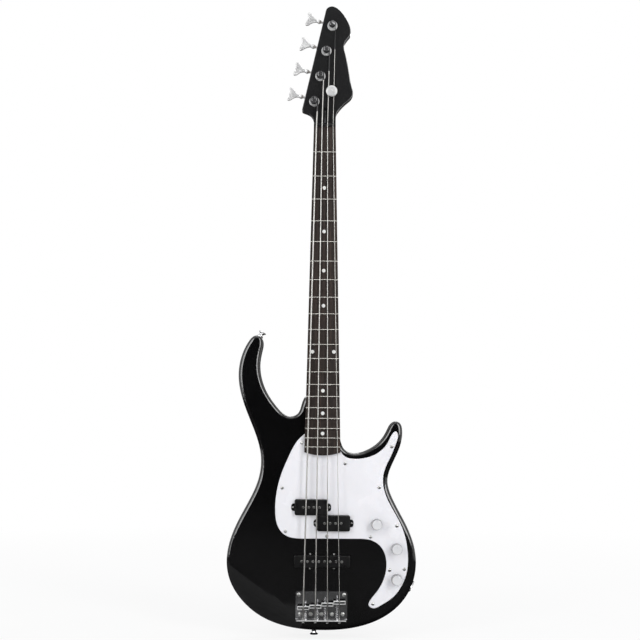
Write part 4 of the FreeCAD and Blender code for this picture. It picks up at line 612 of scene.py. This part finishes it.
def smooth_line(name, points):
    """Points read from a smooth curve of order 3 through the given control points, in metres."""
    data = bpy.data.curves.new(name, "CURVE")
    data.dimensions = "3D"
    data.resolution_u = 6
    spline = data.splines.new("NURBS")
    spline.points.add(len(points) - 1)
    for target, point in zip(spline.points, points):
        target.co = (*(point * MM), 1.0)
    spline.order_u = 3
    spline.use_endpoint_u = True
    holder = bpy.data.objects.new(name, data)
    mesh = bpy.data.meshes.new_from_object(holder)
    line = [vertex.co.copy() for vertex in mesh.vertices]
    bpy.data.objects.remove(holder)
    bpy.data.curves.remove(data)
    bpy.data.meshes.remove(mesh)
    return line


print("points on the first string's route:", len(string_points(0)))

# %% [markdown]
# ### Tube along a line
# The tube is a ring of points carried along the line. The ring is turned only as far as the line turns, so
# the tube never twists. Its map stores the length along the string in one direction and the way round in the
# other, which a bevelled curve couldn't give in real metres.

# %% Tube along a line
def join_rings(mesh, rings):
    """Rows of smooth faces from each ring to the next, with both ends closed."""
    rows = []
    for ring, after in zip(rings, rings[1:]):
        row = []
        for number, corner in enumerate(ring):
            beyond = (number + 1) % len(ring)
            row.append(mesh.faces.new((corner, ring[beyond], after[beyond], after[number])))
            row[-1].smooth = True
        rows.append(row)
    mesh.faces.new(list(reversed(rings[0])))
    mesh.faces.new(rings[-1])
    return rows


def put_in_scene(name, mesh):
    """The finished points and faces as a piece of the scene."""
    data = bpy.data.meshes.new(name)
    mesh.to_mesh(data)
    mesh.free()
    piece = bpy.data.objects.new(name, data)
    scene.collection.objects.link(piece)
    return piece


def tube_mesh(name, line, radius, sides=14):
    """A closed round tube along a line, and its length."""
    mesh = bmesh.new()
    layer = mesh.loops.layers.uv.new("length_and_turn")
    rings, lengths = [], [0.0]
    side = None
    for index, point in enumerate(line):
        ahead = (line[min(index + 1, len(line) - 1)] - line[max(index - 1, 0)]).normalized()
        side = ahead.orthogonal().normalized() if side is None else side
        side = (side - ahead * side.dot(ahead)).normalized()
        other = ahead.cross(side)
        angles = [2 * math.pi * number / sides for number in range(sides)]
        rings.append([mesh.verts.new(point + (side * math.cos(angle) + other * math.sin(angle)) * radius)
                      for angle in angles])
        if index:
            lengths.append(lengths[-1] + (point - line[index - 1]).length)
    for near, far, row in zip(lengths, lengths[1:], join_rings(mesh, rings)):
        for number, face in enumerate(row):
            turn, next_turn = number / sides, (number + 1) / sides
            corners = ((near, turn), (near, next_turn), (far, next_turn), (far, turn))
            for loop, corner in zip(face.loops, corners):
                loop[layer].uv = corner
    return put_in_scene(name, mesh), lengths[-1]


print("tube maker ready")

# %% [markdown]
# ### Wrap and silk
# The wrap is a row of round ridges, one for each turn of the wire. A sine of the length gives the ridge, and
# adding the way round to it makes the ridges lean like a real helix. Ridges of real geometry would need
# millions of faces for half a millimetre each, so they stay in the bump. Silk is the same with finer thread
# and no metal.

# %% String finishes
def make_wrap(name, pitch, metal, colour, shade, low, high):
    material, tree, shader, place = start_finish(name)
    mapped = tree.nodes.new("ShaderNodeUVMap")
    mapped.uv_map = "length_and_turn"
    axes = split_axes(tree, mapped.outputs["UV"])
    count = add_math(tree, "MULTIPLY_ADD", axes["X"], 1.0 / pitch, axes["Y"])
    ridge = add_math(tree, "SINE", add_math(tree, "MULTIPLY", count, 2 * math.pi))
    height = add_range(tree, ridge, low=0.0, high=1.0, start=-1.0, end=1.0)
    tarnish = add_noise(tree, place, stretch=(300, 300, 40), detail=4.0)
    tree.links.new(add_ramp(tree, tarnish, [(0.3, shade), (0.7, colour)]), shader.inputs["Base Color"])
    tree.links.new(add_range(tree, tarnish, low=low, high=high), shader.inputs["Roughness"])
    shader.inputs["Metallic"].default_value = metal
    add_bump(tree, shader, height, strength=0.12, distance=0.0001)
    return material


finishes["string_wrap"] = make_wrap("string_wrap", pitch=0.00055, metal=1.0, colour=(0.4, 0.392, 0.376),
                                    shade=(0.32, 0.315, 0.303), low=0.32, high=0.44)
silk = make_wrap("string_silk", pitch=0.0004, metal=0.0, colour=(0.02, 0.02, 0.022),
                 shade=(0.01, 0.01, 0.011), low=0.5, high=0.7)
print("string wrap and silk made")

# %% [markdown]
# ### Stringing up
# Each string is split where it bends over its saddle, because the saddle slides when it is adjusted and the
# rest of the string stays. The long piece runs from the crown to its post, and the tail runs back from the
# crown to the ball behind the bridge wall. The faces beyond a height on the head take the silk.

# %% Make the strings
silk_starts = (31.7, 88.0, 112.4, 156.4)

for index, name in enumerate(string_names):
    radius = string_diameters[index] / 2 * MM
    crown = saddle_crown(index) * MM
    line = smooth_line("route", string_points(index))
    seat = min(range(len(line)), key=lambda number: (line[number] - crown).length)
    piece, length = tube_mesh("wound_string_" + name, line[seat:], radius)
    tail, tail_length = tube_mesh("string_tail_" + name, line[:seat + 1], radius)
    for part in (piece, tail):
        part.data.materials.append(finishes["string_wrap"])
        part.data.materials.append(silk)
        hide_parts("string_" + name)
    for face in piece.data.polygons:
        if face.center.z > silk_starts[index] * MM:
            face.material_index = 1
    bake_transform(piece)
    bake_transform(tail)
    print("string", name, "length in metres", round(length + tail_length, 3))

# %% [markdown]
# ### Ball ends
# Behind the bridge wall each string ends in a small turned barrel with a groove, in which the core is hooked.
# A cylinder would do at a distance, but the groove catches the light, so the barrel is made as a lathe would
# make it: a profile of radius and height is carried round an axis.

# %% Ball ends
ball_profile = [(1.9, 0.0), (2.5, 0.2), (2.7, 0.6), (2.7, 1.5), (2.15, 1.9), (2.0, 2.5), (2.15, 3.1),
                (2.7, 3.5), (2.7, 4.4), (2.5, 4.8), (1.9, 5.0)]


def turned_piece(name, profile, start, direction, sides=28):
    """A piece turned about an axis from points of radius and height, in millimetres."""
    mesh = bmesh.new()
    turn = Vector((0, 0, 1)).rotation_difference(direction).to_matrix()
    angles = [2 * math.pi * number / sides for number in range(sides)]
    rings = []
    for radius, height in profile:
        places = [Vector((radius * math.cos(angle), radius * math.sin(angle), height)) for angle in angles]
        rings.append([mesh.verts.new((start + turn @ place) * MM) for place in places])
    join_rings(mesh, rings)
    return put_in_scene(name, mesh)


for index, name in enumerate(string_names):
    ball_start = Vector((string_side(index, bridge_spacing), hole_level, ball_seat))
    ball = turned_piece("ball_end_" + name, ball_profile, ball_start, Vector((0, 0, -1)))
    ball.data.materials.append(finishes["plain_steel"])
    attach(ball, "instrument")
print("ball ends made:", len(string_names))

# %% [markdown]
# ## Intonation springs
# A thin spring on each intonation screw pushes its saddle away from the bridge wall. It is an open helix with
# its ends turned along the screw. A screw modifier could wind it, but its ends would stop short of the wall
# and the saddle. It stretches when the saddle slides.

# %% Make the springs
spring_curls, coil_radius, straight_end, wire_radius = 8, 2.0, 0.6, 0.3
screw_offset, screw_level, saddle_back, end_gap = 3.9, -7.0, 3.5, 0.05


def spring_points(index):
    inward = screw_offset if index < 2 else -screw_offset
    axis_x = string_side(index, bridge_spacing) + inward
    low = wall_inner + end_gap
    high = -scale_length - saddle_setbacks[index] - saddle_back - end_gap
    wide = coil_radius / math.cos(turn_step / 2)
    count = int(spring_curls * 2 * math.pi / turn_step)
    rim = axis_x + coil_radius
    points = [Vector((rim, screw_level, low)), Vector((rim, screw_level, low + straight_end))]
    for number in range(1, count):
        angle = turn_step * number
        height = low + straight_end + (high - low - 2 * straight_end) * number / count
        points.append(Vector((axis_x + wide * math.cos(angle), screw_level + wide * math.sin(angle), height)))
    return points + [Vector((rim, screw_level, high - straight_end)), Vector((rim, screw_level, high))]


for index, name in enumerate(string_names):
    points = spring_points(index)
    coil = smooth_line("coil", points)
    spring, length = tube_mesh("coiled_spring_" + name, coil, wire_radius * MM, 8)
    spring.data.materials.append(finishes["spring_steel"])
    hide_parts("intonation_spring_" + name)
    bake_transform(spring)
    print("spring", name, "wire length in metres", round(length, 3))

# %% [markdown]
# ## Floor
# The instrument hangs in front of plain white. The floor is white to the camera and to mirror reflections
# without being lit any harder, and keeps a part of its matt face near the instrument, where the shadow falls.
# A stronger lamp would make it white too, but it would also wash out the object.

# %% Floor
def add_distance(tree, place):
    """How far a place is from the middle of its own piece."""
    distance = tree.nodes.new("ShaderNodeVectorMath")
    distance.operation = "LENGTH"
    tree.links.new(place, distance.inputs[0])
    return distance.outputs["Value"]


def make_floor():
    """A matt white floor that is nearly its own light near the instrument and wholly so further away."""
    material, tree, shader, place = start_finish("studio_floor")
    tree.nodes.remove(shader)
    matt = tree.nodes.new("ShaderNodeBsdfDiffuse")
    mottle = add_noise(tree, place, stretch=(3, 3, 3), detail=2.0)
    paper = add_ramp(tree, mottle, [(0.3, (0.88, 0.88, 0.88)), (0.7, (0.92, 0.92, 0.92))])
    tree.links.new(paper, matt.inputs["Color"])
    bright = tree.nodes.new("ShaderNodeEmission")
    far = add_range(tree, add_distance(tree, place), low=0.84, high=1.0, start=0.4, end=2.4)
    rays = tree.nodes.new("ShaderNodeLightPath").outputs
    seen = add_math(tree, "MAXIMUM", rays["Is Camera Ray"], rays["Is Glossy Ray"])
    mix = tree.nodes.new("ShaderNodeMixShader")
    tree.links.new(add_math(tree, "MULTIPLY", seen, far), mix.inputs["Fac"])
    tree.links.new(matt.outputs["BSDF"], mix.inputs[1])
    tree.links.new(bright.outputs["Emission"], mix.inputs[2])
    tree.links.new(mix.outputs["Shader"], tree.nodes["Material Output"].inputs["Surface"])
    return material


def flat_square(name, size):
    mesh = bmesh.new()
    bmesh.ops.create_grid(mesh, x_segments=1, y_segments=1, size=size)
    return put_in_scene(name, mesh)


floor_half_width, floor_gap = 14.0, 0.001
floor = flat_square("studio_floor", floor_half_width)
floor.location.z = cad_low[2] - floor_gap
floor.data.materials.append(make_floor())
print("floor at", round(floor.location.z, 4))

# %% [markdown]
# ## White room
# The surroundings are white to the camera, to mirrors and through clear things, and only a weak even fill to
# everything else. One plain white world would be simpler, but it would light the object from all sides and
# leave it flat.

# %% White room
def add_background(tree, colour, strength):
    background = tree.nodes.new("ShaderNodeBackground")
    background.inputs["Color"].default_value = (*colour, 1.0)
    background.inputs["Strength"].default_value = strength
    return background.outputs["Background"]


world = bpy.data.worlds.new("white_room")
scene.world = world
world.use_nodes = True
sky = world.node_tree
sky.nodes.clear()
rays = sky.nodes.new("ShaderNodeLightPath").outputs
seen = add_math(sky, "MAXIMUM", rays["Is Camera Ray"], rays["Is Glossy Ray"])
shown = add_math(sky, "MAXIMUM", seen, rays["Is Transmission Ray"])
chosen = sky.nodes.new("ShaderNodeMixShader")
sky.links.new(shown, chosen.inputs["Fac"])
sky.links.new(add_background(sky, colour=(0.97, 0.98, 1.0), strength=0.36), chosen.inputs[1])
sky.links.new(add_background(sky, colour=white, strength=1.0), chosen.inputs[2])
out = sky.nodes.new("ShaderNodeOutputWorld")
sky.links.new(chosen.outputs["Shader"], out.inputs["Surface"])
print("white room made")

# %% [markdown]
# ## Lamps
# The lamps alone set how bright the object is. A large soft lamp stands to the upper right, a weaker one to
# the left, one above, and one high at the back for the views from behind. Small lamps would give hard shadows
# and points of light on the chrome, so all of them are wide areas.

# %% Lamps
def soft_lamp(name, place, size, power):
    data = bpy.data.lights.new(name, "AREA")
    data.shape = "RECTANGLE"
    data.size, data.size_y = size
    data.energy = power
    lamp = bpy.data.objects.new(name, data)
    scene.collection.objects.link(lamp)
    lamp.location = place
    lamp.rotation_euler = (middle - Vector(place)).to_track_quat("-Z", "Y").to_euler()


middle = Vector((0.0, 0.0, -0.35))
soft_lamp("key_lamp", place=(1.7, -2.1, 0.4), size=(0.7, 2.2), power=37)
soft_lamp("side_lamp", place=(-1.7, -1.7, 0.2), size=(0.6, 2.2), power=20)
soft_lamp("top_lamp", place=(0.0, -0.4, 1.9), size=(1.6, 1.2), power=12)
soft_lamp("back_lamp", place=(0.6, 2.2, 1.4), size=(1.6, 0.9), power=26)

# %% [markdown]
# ## Cards for the reflections
# Polished black shows whatever stands around it. Dark cards behind the camera, on the floor and at the back,
# which only reflections see, keep the lacquer black, as a studio does for dark glossy things. A grey card on
# the left gives the forearm contour its paler tone, and two bright strips draw the thin lines of light along
# the rounded edges. Painting those lines into the lacquer would be wrong from every other side.

# %% Cloths for the cards
def make_card_finish(name, centre, edge):
    """Cloth whose tone changes from its centre to its edge."""
    material, tree, shader, place = start_finish(name)
    weave = add_noise(tree, place, stretch=(40, 40, 40), detail=3.0)
    cloth = add_ramp(tree, weave, [(0.3, (0.7, 0.7, 0.7)), (0.7, white)])
    fade = add_range(tree, add_distance(tree, place), low=0.0, high=1.0, start=0.0, end=3.4)
    tone = add_ramp(tree, fade, [(0.35, (centre, centre, centre)), (1.0, (edge, edge, edge))])
    tree.links.new(multiply_colours(tree, cloth, tone), shader.inputs["Base Color"])
    shader.inputs["Roughness"].default_value = 1.0
    return material


def make_strip_finish():
    """The bright cloth of a strip light, a little uneven."""
    material, tree, shader, place = start_finish("bright_strip")
    glow = add_noise(tree, place, stretch=(1.5, 1.5, 1.5), detail=2.0)
    tree.links.new(add_range(tree, glow, low=6.0, high=8.0), shader.inputs["Emission Strength"])
    shader.inputs["Emission Color"].default_value = (*white, 1.0)
    return material


paling = make_card_finish("paling_cloth", centre=0.012, edge=0.6)
black = make_card_finish("black_cloth", centre=0.012, edge=0.012)
backdrop = make_card_finish("backdrop_cloth", centre=0.1, edge=0.7)
grey = make_card_finish("grey_cloth", centre=0.3, edge=0.3)
strip = make_strip_finish()
print("cloths made for the cards")

# %% [markdown]
# A card is a flat square, set upright or laid on the floor, and hidden from everything but reflections. It
# could be a lamp that is turned off for the camera, but a lamp would also light the object.

# %% Set up the cards
def reflection_card(name, half_size, place, finish, upright=True):
    """A card that only mirror reflections see."""
    card = flat_square(name, 1.0)
    stand = Matrix.Rotation(math.radians(90), 4, "X") if upright else Matrix.Identity(4)
    card.matrix_world = Matrix.Translation(place) @ stand
    card.data.transform(Matrix.Diagonal((*half_size, 1.0, 1.0)))
    card.data.materials.append(finish)
    card.visible_camera = False
    card.visible_diffuse = False
    card.visible_shadow = False
    card.visible_transmission = False


card_gap = 0.002
on_floor, over_black_card = floor.location.z + card_gap, floor.location.z + 2 * card_gap
reflection_card("card_behind_camera", half_size=(3.0, 3.0), place=(0.0, -3.4, -0.45), finish=paling)
reflection_card("card_on_floor", half_size=(1.75, 4.3), place=(0.0, 0.7, on_floor), finish=black,
                upright=False)
reflection_card("card_at_left", half_size=(0.29, 0.19), place=(-0.33, -0.16, over_black_card), finish=grey,
                upright=False)
reflection_card("card_at_back", half_size=(3.0, 1.5), place=(0.0, 3.4, -0.3), finish=backdrop)
for side in (-1, 1):
    reflection_card("bright_strip", half_size=(0.35, 1.0), place=(1.3 * side, -2.4, 0.4), finish=strip)
print("cards for the reflections: three dark, one grey, two bright strips")
